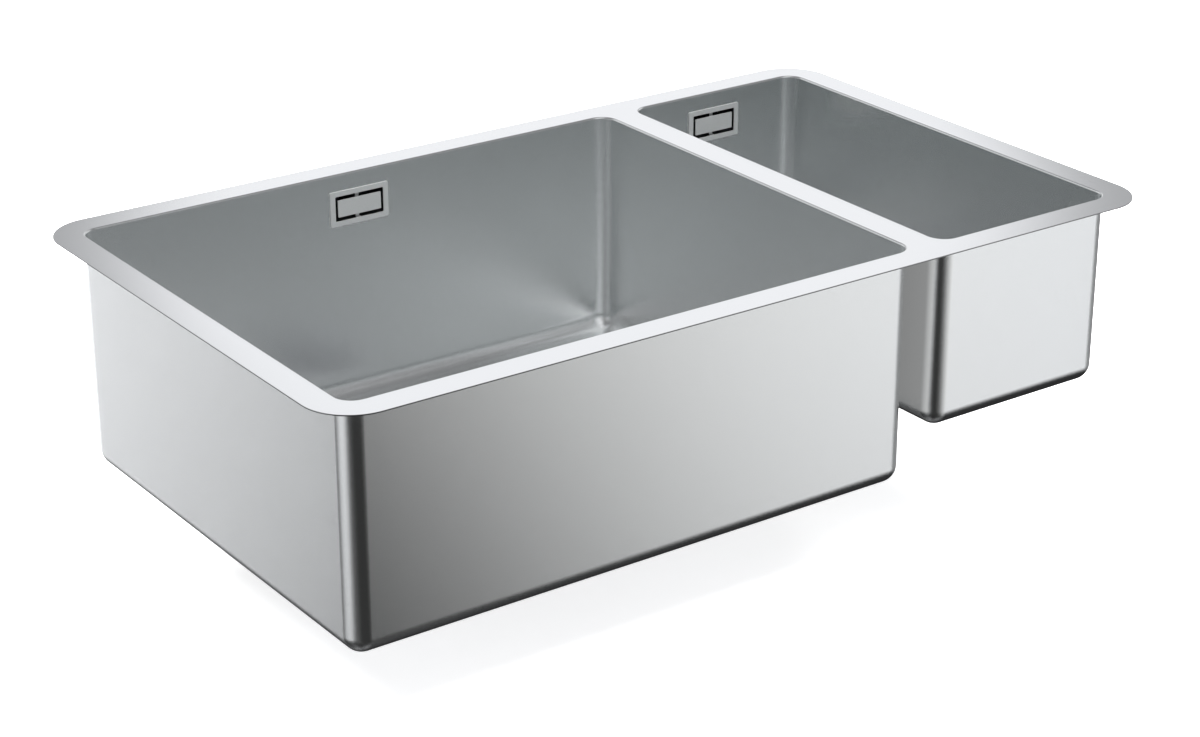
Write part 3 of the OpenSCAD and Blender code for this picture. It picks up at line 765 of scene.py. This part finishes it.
def strainer_cup(side):
    bm = bmesh.new()
    turn(bm, CUP_SECTION, steps=128)
    turn(bm, [(HUB_BORE_R, HUB_TOP), (HUB_R, HUB_TOP, HUB_ROUND), (HUB_R, HUB_BOTTOM, HUB_ROUND),
              (HUB_BORE_R, HUB_BOTTOM)], steps=40)
    for way in row_of(4, 45):
        placed(bm, way, block, ARM_LOW, ARM_HIGH, HUB_ROUND)
    finish_piece(f"{side}_strainer_cup_bright", bm, BRIGHT_STEEL[side],
                 f"{side}_strainer_cup", AT_DRAIN[side])


for side in SIDES:
    strainer_cup(side)

# %% [markdown]
# ## The basket
# A basket's holes are punched while the sheet is flat, and the wall is then rolled round. The script does
# the same: rings of edges are filled as a flat sheet with holes, the wall's strip is bent round the axis,
# and one solidify gives floor, wall and rim their thickness. A hole needs only a few edges, because there
# are over a hundred.

# %% Basket sizes
BASKET_T, BASKET_R, BASKET_FLOOR = 0.8, 38.0, -17.7
RIM_R, RIM_Z, RIM_BEND = 42.8, -1.7, 0.7
BEND = 2.0
HOLE_SIZE_R, HOLE_STEPS, HOLE_PITCH = 1.6, 12, 6.4
GUIDE_R, BORE_R, GUIDE_TALL, GUIDE_SUNK = 5.5, 3.06, 7, 0.5
FLOOR_ROWS = 4
WALL_HOLES, WALL_PITCH, FIRST_HOLE = 24, 5.5, 0.25
WALL_STEPS = 96
CUT_LENGTH = 3 * MM


# %% Basket floor
def hole(bm, place):
    return circle(bm, place, HOLE_SIZE_R * MM, HOLE_STEPS)


def basket_floor(bm):
    level = Matrix.Translation((0, 0, BASKET_FLOOR * MM))
    edges = circle(bm, level, (BASKET_R - BEND) * MM, WALL_STEPS)
    edges += circle(bm, level, (GUIDE_R - GUIDE_SUNK) * MM, 24)
    for row in range(1, FLOOR_ROWS + 1):
        radius = GUIDE_R + (BASKET_R - GUIDE_R) * row / (FLOOR_ROWS + 1)
        for way in row_of(int(math.tau * radius / HOLE_PITCH)):
            edges += hole(bm, way @ level @ Matrix.Translation((radius * MM, 0, 0)))
    bmesh.ops.triangle_fill(bm, use_beauty=True, use_dissolve=False, edges=edges, normal=UP)


# %% Basket wall
def punched_strip():
    """The wall while it is flat: a strip in the XZ plane that is cut fine enough to be bent."""
    strip = bmesh.new()
    long = math.tau * BASKET_R
    for level in (BASKET_FLOOR + BEND, RIM_Z - BASKET_T):
        pull(strip, [strip.verts.new((0, 0, level * MM))], (long * MM, 0, 0), WALL_STEPS)
    for x in (0, long):
        strip.edges.new([v for v in strip.verts if abs(v.co.x - x * MM) < MERGE / 10])
    edges = strip.edges[:]
    for row in (1, 2):
        level = BASKET_FLOOR - BASKET_T + WALL_PITCH * row
        for i in range(WALL_HOLES):
            along = long * ((i + row / 2) % WALL_HOLES + FIRST_HOLE) / WALL_HOLES
            place = Matrix.Translation((along * MM, 0, level * MM)) @ Matrix.Rotation(math.pi / 2, 4, "X")
            edges += hole(strip, place)
    bmesh.ops.triangle_fill(strip, use_beauty=True, use_dissolve=False, edges=edges, normal=(0, 1, 0))
    inner = [e for e in strip.edges if len(e.link_faces) == 2 and e.calc_length() > CUT_LENGTH]
    bmesh.ops.subdivide_edges(strip, edges=inner, cuts=1, use_grid_fill=False)
    bmesh.ops.triangulate(strip, faces=strip.faces[:])
    return strip


def basket_wall(bm):
    """Bends the strip round the axis and adds it."""
    strip = punched_strip()
    for v in strip.verts:
        v.co = Matrix.Rotation(v.co.x / (BASKET_R * MM), 3, "Z") @ Vector((BASKET_R * MM, 0, v.co.z))
    mesh = bpy.data.meshes.new("punched strip")
    strip.to_mesh(mesh)
    strip.free()
    bm.from_mesh(mesh)
    bpy.data.meshes.remove(mesh)


# %% Baskets
def basket(side):
    bm = bmesh.new()
    basket_floor(bm)
    basket_wall(bm)
    low, high = BASKET_FLOOR, RIM_Z
    foot = [(BASKET_R - BEND, low), (BASKET_R, low, BEND - 0.01), (BASKET_R, low + BEND)]
    rim = [(BASKET_R, high - BASKET_T), (BASKET_R, high, RIM_BEND), (RIM_R, high)]
    for points in (foot, rim):
        turn(bm, points, WALL_STEPS, closed=False)
    bmesh.ops.remove_doubles(bm, verts=bm.verts, dist=20 * MERGE)
    face_out(bm)
    bmesh.ops.solidify(bm, geom=bm.faces[:], thickness=BASKET_T * MM)
    turn(bm, [(BORE_R, low - BASKET_T), (GUIDE_R, low - BASKET_T), (GUIDE_R, low + GUIDE_TALL, 0.5),
              (BORE_R, low + GUIDE_TALL, 0.3)], steps=32)
    print("basket spans", [round(f(v.co.z for v in bm.verts) / MM, 2) for f in (min, max)], "mm")
    finish_piece(f"{side}_basket_punched", bm, BRIGHT_STEEL[side], f"{side}_basket",
                 AT_DRAIN[side], body=f"{side}_strainer_basket")


for side in SIDES:
    basket(side)

# %% [markdown]
# ## Stopper, stem and knob
# The stopper closes the cup when the knob is pushed down. All three pieces are turned, so each one is a
# section with small rounds that is spun once. The rounds matter more than anything else: a polished knob
# without them looks like a drawing.

# %% Stopper pieces
DISC_SECTION = [(10, 0), (26.4, 0, 0.3), (27, 0.6, 0.3), (27, 2.6, 0.8), (24, 4, 1.2), (BORE_R, 4),
                (BORE_R, 2.5), (10, 2.5)]
STEM_END, COLLAR, KNOB_Z, DISC_T = CUP_FLOOR + 1.3, CUP_FLOOR + 4, -10.2, 1.2
STEM_SECTION = [
    (0, STEM_END), (5, STEM_END, 0.3), (5, STEM_END + DISC_T, 0.3), (3, STEM_END + DISC_T), (3, COLLAR),
    (6, COLLAR, 0.3), (6, COLLAR + DISC_T, 0.4), (3, COLLAR + DISC_T), (3, KNOB_Z + 6), (0, KNOB_Z + 6)]
KNOB_SECTION = [(BORE_R, 0, 0.2), (6.5, 0, 0.5), (6.5, 6, 1.2), (9, 7.5, 1.0), (9, 10.4, 1.2),
                (7.4, 11.7, 0.8), (0, 12), (0, 6), (BORE_R, 6)]


def stopper_piece(side, name, points, material, node, lift, steps):
    bm = bmesh.new()
    turn(bm, points, steps)
    finish_piece(f"{side}_{name}", bm, material, f"{side}_stopper_{node}",
                 AT_DRAIN[side] @ Matrix.Translation((0, 0, lift * MM)), body=f"{side}_stopper")


for side in SIDES:
    bright = BRIGHT_STEEL[side]
    stopper_piece(side, "stopper_rubber", DISC_SECTION, RUBBER, "disc", CUP_FLOOR, 72)
    stopper_piece(side, "stopper_rod", STEM_SECTION, bright, "stem", 0, 40)
    stopper_piece(side, "knob_bright", KNOB_SECTION, bright, "knob", KNOB_Z, 72)

# %% [markdown]
# ## The waste body
# The body is one black moulding: a flange under the gasket, a chamber, a cone and an outlet with a pipe
# thread. The chamber is a spun section. A thread is the same spin with a climb in each step: one tooth's
# outline goes round the outlet and rises by the pitch. That is quicker than a screw modifier and keeps both
# ends in reach to close.

# %% Waste body
SHELL_R, OUTLET_R, OUTLET_BORE_R = 48, 23.9, 20
CONE_TOP, CONE_END, OUTLET_END = -47.6, -60.6, -76.6
THREAD_PITCH, THREAD_DEPTH, THREAD_STEPS, RUN_OUT = 2.309, 1.3, 48, 0.85
TOOTH_SUNK, FLANK, CREST, TOOTH_FOOT = 0.3, 0.35, 0.5, 0.85
BRANCH_Z, BRANCH_ROOT, BRANCH_MOUTH = -20, 46.8, 68
PIPE_R, PIPE_WALL = 9, 1.5
SOCKET_R, SOCKET_BORE_R, SOCKET_TALL = 11.1, PIPE_R + 0.1, 18
ROOT_R = OUTLET_R - THREAD_DEPTH
BODY_SECTION = [
    (56, -3, 0.4), (56, -7, 1.0), (SHELL_R, -7, 1.5), (SHELL_R, CONE_TOP, 4), (ROOT_R + 0.6, CONE_END, 1.5),
    (ROOT_R, CONE_END - 1), (ROOT_R, OUTLET_END, 0.5), (OUTLET_BORE_R, OUTLET_END, 0.5),
    (OUTLET_BORE_R, -58.1, 2), (45.5, -45.1, 3), (45.5, -3, 0.4)]


def thread(bm, low, high):
    """One tooth's outline, spun round the outlet with a climb, and closed at both ends."""
    sunk = ROOT_R - TOOTH_SUNK
    flank, crest, foot = (low + THREAD_PITCH * share for share in (FLANK, CREST, TOOTH_FOOT))
    before = set(bm.verts)
    tooth = section_line(bm, [(sunk, low), (OUTLET_R, flank), (OUTLET_R, crest), (sunk, foot)])
    turns = (high - low) / THREAD_PITCH - RUN_OUT
    spin(bm, tooth, (0, 0, 0), UP, math.tau * turns, int(THREAD_STEPS * turns),
         (0, 0, THREAD_PITCH * MM / THREAD_STEPS))
    mine = {v for v in bm.verts if v not in before}
    ends = [e for e in bm.edges if e.is_boundary and e.verts[0] in mine]
    bmesh.ops.holes_fill(bm, edges=ends, sides=4)


def pipe_socket(bm, low, high):
    """The round socket that a pipe's end is pushed into."""
    turn(bm, [(SOCKET_BORE_R, low, 0.25), (SOCKET_R, low, 0.5), (SOCKET_R, high, 0.5),
              (SOCKET_BORE_R, high, 0.25)], steps=48)


def waste_body(side):
    bm = bmesh.new()
    turn(bm, BODY_SECTION, steps=96)
    thread(bm, OUTLET_END, CONE_END - 1)
    branch = Matrix.Translation((0, 0, BRANCH_Z * MM)) @ Matrix.Rotation(-math.pi / 2, 4, "X")
    placed(bm, branch, pipe_socket, BRANCH_ROOT, BRANCH_MOUTH)
    finish_piece(f"{side}_waste_moulding", bm, PLASTIC, f"{side}_waste_body",
                 AT_DRAIN[side])


for side in SIDES:
    waste_body(side)

# %% [markdown]
# ## Overflow housing and pipe
# Behind the wall a moulded box catches the water, and one rigid pipe takes it down to the waste. The box is
# a block with round edges whose open side faces the wall. The pipe is a circle that is pulled down, spun
# through the bend and pulled on. Its wall comes from a Solidify modifier, because the pipe is an open skin
# until then.

# %% Overflow housing
PIPE_Y = node_box("large_overflow_pipe")[1].y - PIPE_R * MM
HOUSING_T, HOUSING_FRONT, HOUSING_REAR = 1.8, -2.5, -26.85
HOUSING_BORE = (48.6, 24.4)
HOUSING_ROUND, BORE_ROUND, HOUSING_EDGE = 2.8, 1.0, 0.6
RIM_WIDTH, RIM_T = 4, 2
POST_R, POST_END = 4.8, -4.1
UPPER_MOUTH = -61.5


def wider(size, by):
    return [v + 2 * by for v in size]


def overflow_housing(side):
    bm = bmesh.new()
    outside, root, rear = wider(HOUSING_BORE, HOUSING_T), HOUSING_FRONT - 1, HOUSING_REAR + HOUSING_T
    for outline, z, tall in ((wider(HOUSING_BORE, RIM_WIDTH), HOUSING_FRONT, -RIM_T),
                             (outside, root, rear - root)):
        rings = mm_loop(bm, outline, HOUSING_ROUND, z) + mm_loop(bm, HOUSING_BORE, BORE_ROUND, z)
        slab(bm, rings, tall * MM)
    slab(bm, mm_loop(bm, outside, HOUSING_ROUND, rear), -HOUSING_T * MM)
    bevel_sharp(bm, HOUSING_EDGE * MM)
    turn(bm, [(0, HOUSING_REAR + 1), (POST_R, HOUSING_REAR + 1), (POST_R, POST_END, 0.3), (0, POST_END)],
         steps=32)
    bmesh.ops.transform(bm, matrix=OVERFLOW[side], verts=bm.verts)
    at_pipe = Matrix.Translation((BOWLS[side]["x"], PIPE_Y, 0))
    placed(bm, at_pipe, pipe_socket, UPPER_MOUTH, UPPER_MOUTH + SOCKET_TALL)
    finish_piece(f"{side}_overflow_moulding", bm, PLASTIC, f"{side}_overflow_housing")


for side in SIDES:
    overflow_housing(side)

# %% Overflow pipe
PIPE_BEND_R = 24 * MM
PIPE_STEPS, BEND_STEPS = 40, 16


def overflow_pipe(side):
    low, high, middle = node_box(f"{side}_overflow_pipe")
    axis_x, bend_z = middle.x, low.z + PIPE_R * MM + PIPE_BEND_R
    bm = bmesh.new()
    ring = circle(bm, Matrix.Translation((axis_x, PIPE_Y, high.z)), PIPE_R * MM, PIPE_STEPS)
    row = pull(bm, verts_of(ring) + ring, (0, 0, bend_z - high.z))
    row = spin(bm, row, (axis_x, PIPE_Y - PIPE_BEND_R, bend_z), (-1, 0, 0), math.pi / 2, BEND_STEPS)
    pull(bm, row, (0, low.y - PIPE_Y + PIPE_BEND_R, 0))

    def from_axis(face):
        """How far a face of the upright stretch looks away from the pipe's axis."""
        at = face.calc_center_median()
        return face.normal.dot(at - Vector((axis_x, PIPE_Y, 0))) if at.z > bend_z else 0

    face_out(bm, from_axis)
    print(side, "pipe ends at y", round(min(v.co.y for v in bm.verts) / MM, 1), "mm")
    finish_piece(f"{side}_overflow_tube", bm, PLASTIC, f"{side}_overflow_pipe",
                 wall=PIPE_WALL * MM)


for side in SIDES:
    overflow_pipe(side)

# %% [markdown]
# Each end of the pipe has a union nut that is turned by hand, so it has ribs to grip. The nut is a spun
# section, and its ribs are small half-buried rods, spun once and copied round.

# %% Nuts
NUT_R, NUT_BORE_R, NUT_TALL, NUT_LIP, SEAL_TALL = 13.25, 9.4, 17, 3, 4
THREAD_BORE_R = SOCKET_R + 0.15
GRIPS, GRIP_R, GRIP_LOW, GRIP_HIGH = 12, 1.0, 0.6, NUT_TALL - 0.4
NUT_SECTION = [(NUT_BORE_R, 0, 0.3), (NUT_R, 0, 1.0), (NUT_R, NUT_TALL, 0.6),
               (THREAD_BORE_R, NUT_TALL, 0.3), (THREAD_BORE_R, NUT_LIP), (NUT_BORE_R, NUT_LIP, 0.3)]
GRIP_SECTION = [(0, GRIP_LOW), (GRIP_R, GRIP_LOW, 0.5), (GRIP_R, GRIP_HIGH, 0.5), (0, GRIP_HIGH)]


def union_nut(name, node, place):
    bm = bmesh.new()
    turn(bm, NUT_SECTION, steps=72)
    for way in row_of(GRIPS):
        rib = way @ Matrix.Translation(((NUT_R - GRIP_R / 2) * MM, 0, 0))
        placed(bm, rib, turn, GRIP_SECTION, steps=16)
    finish_piece(name, bm, PLASTIC, node, place)


for side in SIDES:
    x, drain = BOWLS[side]["x"], BOWLS[side]["drain"]
    upper = Matrix.Translation((x, PIPE_Y, (UPPER_MOUTH - NUT_LIP - SEAL_TALL) * MM))
    lower_at = (x, drain.y + (BRANCH_MOUTH + NUT_LIP + SEAL_TALL) * MM, drain.z + BRANCH_Z * MM)
    lower = Matrix.Translation(lower_at) @ Matrix.Rotation(math.pi / 2, 4, "X")
    union_nut(f"{side}_upper_union", f"{side}_upper_nut", upper)
    union_nut(f"{side}_lower_union", f"{side}_lower_nut", lower)

# %% [markdown]
# ## Pieces that keep their CAD shape
# Gaskets, seals, inserts, screws, the hub and the flat pad under each floor are right as the CAD has them.
# They only get their finish, put into the slots that their meshes already have.

# %% Finishes for carried-over nodes
CARRIED = {"floor_pad": PAD, "rim_gasket": RUBBER, "body_gasket": RUBBER, "overflow_gasket": RUBBER,
           "upper_seal": RUBBER, "lower_seal": RUBBER, "waste_hub": PLASTIC, "waste_insert": BRASS,
           "overflow_insert": BRASS, "centre_screw": SCREW_STEEL, "overflow_screw": SCREW_STEEL}
for side in SIDES:
    for node, finish in CARRIED.items():
        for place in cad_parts[f"{side}_{node}"].material_slots:
            place.material = finish[side] if isinstance(finish, dict) else finish
print("carried over", len(CARRIED) * len(SIDES), "nodes")

# %% [markdown]
# ## Light and floor
# A steel wall shows what stands opposite it, so the studio itself is part of the finish. A camera that
# looks down on the sink sees three fields of it: the deck shows the far end of the room above the horizon,
# and the outer walls show a low ring of light and dark screens. The insides of the bowls show each other
# and, through them, the upper part of the room. The room is one sky whose strength follows the direction,
# with the ring as a colour ramp round the compass and soft boxes above it.

# %% Ring of screens
world = bpy.data.worlds.new("studio")
bpy.context.scene.world = world
world.use_nodes = True
sky = world.node_tree
looking = add(sky, "ShaderNodeTexCoord").outputs["Generated"]
axes = add(sky, "ShaderNodeSeparateXYZ", {0: looking}).outputs


def ramp(tree, source, stops, ease="EASE"):
    """A strength that follows a number from 0 to 1 through (place, strength) stops."""
    node = add(tree, "ShaderNodeValToRGB", {"Fac": source})
    node.color_ramp.interpolation = ease
    elements = node.color_ramp.elements
    while len(elements) < len(stops):
        elements.new(0.5)
    for element, (place, strength) in zip(elements, sorted(stops)):
        element.position = place
        element.color = (strength, strength, strength, 1)
    return node.outputs["Color"]


def work_out(operation, *sources):
    return add(sky, "ShaderNodeMath", dict(enumerate(sources)), operation=operation).outputs[0]


# Compass angle from 0 to 360 degrees, counted from +X towards +Y, and height from -90 to 90 degrees
compass = work_out("ARCTAN2", axes["Y"], axes["X"])
turned = work_out("FRACT", work_out("ADD", work_out("DIVIDE", compass, math.tau), 1.0))
height = work_out("ADD", work_out("DIVIDE", work_out("ARCSINE", axes["Z"]), math.pi), 0.5)


def band(stops):
    """A strength that follows the height through (degrees, strength) stops."""
    return ramp(sky, height, [(angle / 180 + 0.5, light) for angle, light in stops])


SCREENS = [(0, 0.32), (40, 0.32), (80, 0.36), (98, 1.3), (112.5, 1.5), (119.5, 0.24), (127, 0.15),
           (142, 0.36), (156, 0.84), (182, 0.98), (194, 0.80), (207, 0.18), (225, 0.12), (270, 0.45),
           (300, 1.05), (320, 1.06), (338, 0.26), (360, 0.32)]
LOW_BAND = [(-90, 0.30), (-75, 0.28), (-60, 0.11), (-40, 0.08), (-30, 0.7), (-24, 1.0), (0, 1.0), (90, 1.0)]
HIGH_BAND = [(-90, 0.0), (-6, 0.0), (8, 1.0), (90, 1.0)]
screens = ramp(sky, turned, [(angle / 360, light) for angle, light in SCREENS])
low_light = work_out("MULTIPLY", screens, band(LOW_BAND))
print("screens", len(SCREENS), "stops round the compass")

# %% [markdown]
# Above the horizon the room is grey all round, with a dim ring under a bright ceiling. A small box behind
# the sink lights the deck, a wide one high in front lights the floors, and two at the sides light the upper
# walls. Two flags, which are boxes that take light away, keep the lower walls from getting too bright. Each
# of them is a dot product with its direction, faded at its edge, and it is a group because six of them are
# used.

# %% Soft boxes above the horizon
def box_light(tree, given):
    toward = add(tree, "ShaderNodeVectorMath", {0: given["Vector"], 1: given["Direction"]},
                 operation="DOT_PRODUCT")
    return add(tree, "ShaderNodeMapRange", {
        "Value": toward.outputs["Value"], "From Min": given["Edge"], "From Max": given["Core"]},
        interpolation_type="SMOOTHSTEP").outputs["Result"]


SOFT_BOX = effect("soft box", "Light", {"Direction": None, "Edge": 0.7, "Core": 0.95}, box_light)


def soft_box(compass_deg, height_deg, edge_deg, core_deg, power):
    """A round field of light: full inside core_deg of its middle and gone at edge_deg."""
    turn_by, rise = math.radians(compass_deg), math.radians(height_deg)
    way = (math.cos(turn_by) * math.cos(rise), math.sin(turn_by) * math.cos(rise), math.sin(rise))
    light = place_effect(sky, SOFT_BOX, looking, {
        "Direction": way, "Edge": math.cos(math.radians(edge_deg)), "Core": math.cos(math.radians(core_deg))})
    return work_out("MULTIPLY", light, power)


ROOM_BAND = [(-90, 0.48), (29, 0.48), (39, 0.27), (72, 0.27), (82, 1.0), (90, 1.0)]
SOFT_BOXES = [(54.8, 20.5, 11.2, 7.2, 0.60), (262, 50, 34, 20, 0.6), (112, 25, 32, 16, 0.42),
              (8, 25, 28, 14, 0.42), (235, 20, 36, 18, -0.16), (306, 20, 36, 18, -0.18)]
COOL_WHITE = (0.975, 0.98, 1.0, 1)
high_light = band(ROOM_BAND)
for box in SOFT_BOXES:
    high_light = work_out("ADD", high_light, soft_box(*box))
feed(sky, sky.nodes["Background"], {
    "Color": COOL_WHITE, "Strength": blend(sky, band(HIGH_BAND), low_light, high_light, "FLOAT")})
print("soft boxes and flags", len(SOFT_BOXES))

# %% [markdown]
# A card stands low in front of the sink. Its light fades from right to left and towards its foot, so the
# front corners turn dark and the front wall goes slowly from dark to bright. It stands near, so each bowl
# shows it from its own side, which no sky could do. Only reflections see it. The floor is pale and one-
# sided, so that the underside can be looked at.

# %% Sheets of the set
def stage_sheet(name, place, wide, tall):
    """A flat sheet of the set with its material's tree and shader."""
    bm = bmesh.new()
    size = Matrix.Diagonal((wide, tall, 1, 1))
    bmesh.ops.create_grid(bm, x_segments=1, y_segments=1, size=0.5, matrix=place @ size)
    mesh = bpy.data.meshes.new(name)
    bm.to_mesh(mesh)
    bm.free()
    paint, tree, shader = new_finish(f"{name} paint")
    mesh.materials.append(paint)
    sheet = bpy.data.objects.new(name, mesh)
    bpy.context.scene.collection.objects.link(sheet)
    return sheet, tree, shader


def one_sided(tree, shader):
    """Lets a sheet of the set be seen through from behind."""
    behind = add(tree, "ShaderNodeNewGeometry").outputs["Backfacing"]
    clear = add(tree, "ShaderNodeBsdfTransparent").outputs[0]
    either = add(tree, "ShaderNodeMixShader", {0: behind, 1: shader.outputs[0], 2: clear})
    feed(tree, tree.nodes["Material Output"], {"Surface": either.outputs[0]})


# %% Cards
def card(name, place, wide, tall, way, fade, shift=0.0):
    """A sheet that only reflections see. Its light goes through (metres, strength) stops that are measured
    along way and start shift metres later. A slanted way makes the card darker towards its foot."""
    sheet, tree, shader = stage_sheet(name, place, wide, tall)
    start, end = fade[0][0], fade[-1][0]
    along = add(tree, "ShaderNodeVectorMath", {0: object_vector(tree), 1: way}, operation="DOT_PRODUCT")
    where = add(tree, "ShaderNodeMapRange", {
        "Value": along.outputs["Value"], "From Min": start + shift, "From Max": end + shift})
    stops = [((at - start) / (end - start), light) for at, light in fade]
    feed(tree, shader, {
        "Base Color": (0, 0, 0, 1), "Specular IOR Level": 0.0, "Emission Strength": 1.0,
        "Emission Color": ramp(tree, where.outputs["Result"], stops, "LINEAR")})
    one_sided(tree, shader)
    for kind in ("camera", "diffuse", "transmission", "volume_scatter", "shadow"):
        setattr(sheet, f"visible_{kind}", False)


# A low card in front, from left to right, and a strip in the gap between the bowls, from front to back
FRONT_FADE = [(-1.6, 0.16), (-1.15, 0.04), (-0.15, 0.035), (0.1, 0.24), (0.45, 0.74), (0.75, 0.97)]
FRONT_Y, FRONT_LOW, FRONT_HIGH = -0.95, -1.4, -0.12
FRONT_LEAN, LEVEL_Z = 0.6, -0.40
GAP_FADE = [(-0.197, 0.62), (-0.185, 0.50), (-0.17, 0.32), (-0.1, 0.24), (0.1, 0.16)]
GAP_X = node_box("large_bowl")[1].x + 2 * MM
GAP_LOW = node_box("small_bowl")[0].z


def span(fade):
    """The middle and the width of a card."""
    return (fade[0][0] + fade[-1][0]) / 2, fade[-1][0] - fade[0][0]


middle, wide = span(FRONT_FADE)
at = Matrix.Translation((middle, FRONT_Y, (FRONT_LOW + FRONT_HIGH) / 2))
card("front card", at @ Matrix.Rotation(-math.pi / 2, 4, "X"), wide, FRONT_HIGH - FRONT_LOW,
     (1, 0, FRONT_LEAN), FRONT_FADE, FRONT_LEAN * LEVEL_Z)
middle, wide = span(GAP_FADE)
at = Matrix.Translation((GAP_X, middle, GAP_LOW / 2))
card("gap card", at @ Matrix.Rotation(math.pi / 2, 4, "Y"), -GAP_LOW, wide, (0, 1, 0), GAP_FADE)

# %% [markdown]
# One large soft lamp lights the plastic, the rubber and the floor from above. Polished steel doesn't show
# it. Light that falls into a polished bowl leaves it only after many reflections, so more of them are
# allowed than Blender does by itself. The Standard view keeps white white, as a shop picture does.

# %% Floor and lamp
FLOOR_SIZE, FLOOR_GAP = 16, 0.5 * MM
FLOOR_GREY, FLOOR_TINT, FLOOR_PATCHES, FLOOR_ROUGH, FLOOR_GLOW = (0.9, 0.9, 0.9), 0.01, 2.0, 0.9, 0.7
LAMP_AT, LAMP_SIZE, LAMP_POWER = (0.0, 0.3, 3.0), 6.0, 700
GLOSSY_BOUNCES = 10


def floor_piece():
    under = Matrix.Translation((0, 0, cad_low.z - FLOOR_GAP))
    sheet, tree, shader = stage_sheet("floor", under, FLOOR_SIZE, FLOOR_SIZE)
    slow = place_effect(tree, CLOUDS, object_vector(tree), {"Patches per Metre": FLOOR_PATCHES})
    feed(tree, shader, {
        "Base Color": tint(tree, slow, FLOOR_GREY, FLOOR_TINT), "Roughness": FLOOR_ROUGH,
        "Specular IOR Level": 0.0, "Emission Color": (1, 1, 1, 1), "Emission Strength": FLOOR_GLOW})
    one_sided(tree, shader)
    sheet.visible_glossy = False


floor_piece()
lamp = bpy.data.lights.new("top lamp", "AREA")
lamp.shape = "SQUARE"
lamp.size = LAMP_SIZE
lamp.energy = LAMP_POWER
lit = bpy.data.objects.new("top lamp", lamp)
lit.location = LAMP_AT
lit.rotation_euler = Vector(LAMP_AT).to_track_quat("Z", "Y").to_euler()
lit.visible_glossy = False
bpy.context.scene.collection.objects.link(lit)
bpy.context.scene.view_settings.view_transform = "Standard"
bpy.context.scene.cycles.glossy_bounces = GLOSSY_BOUNCES
print("lamp", LAMP_POWER, "W, glossy bounces", GLOSSY_BOUNCES)
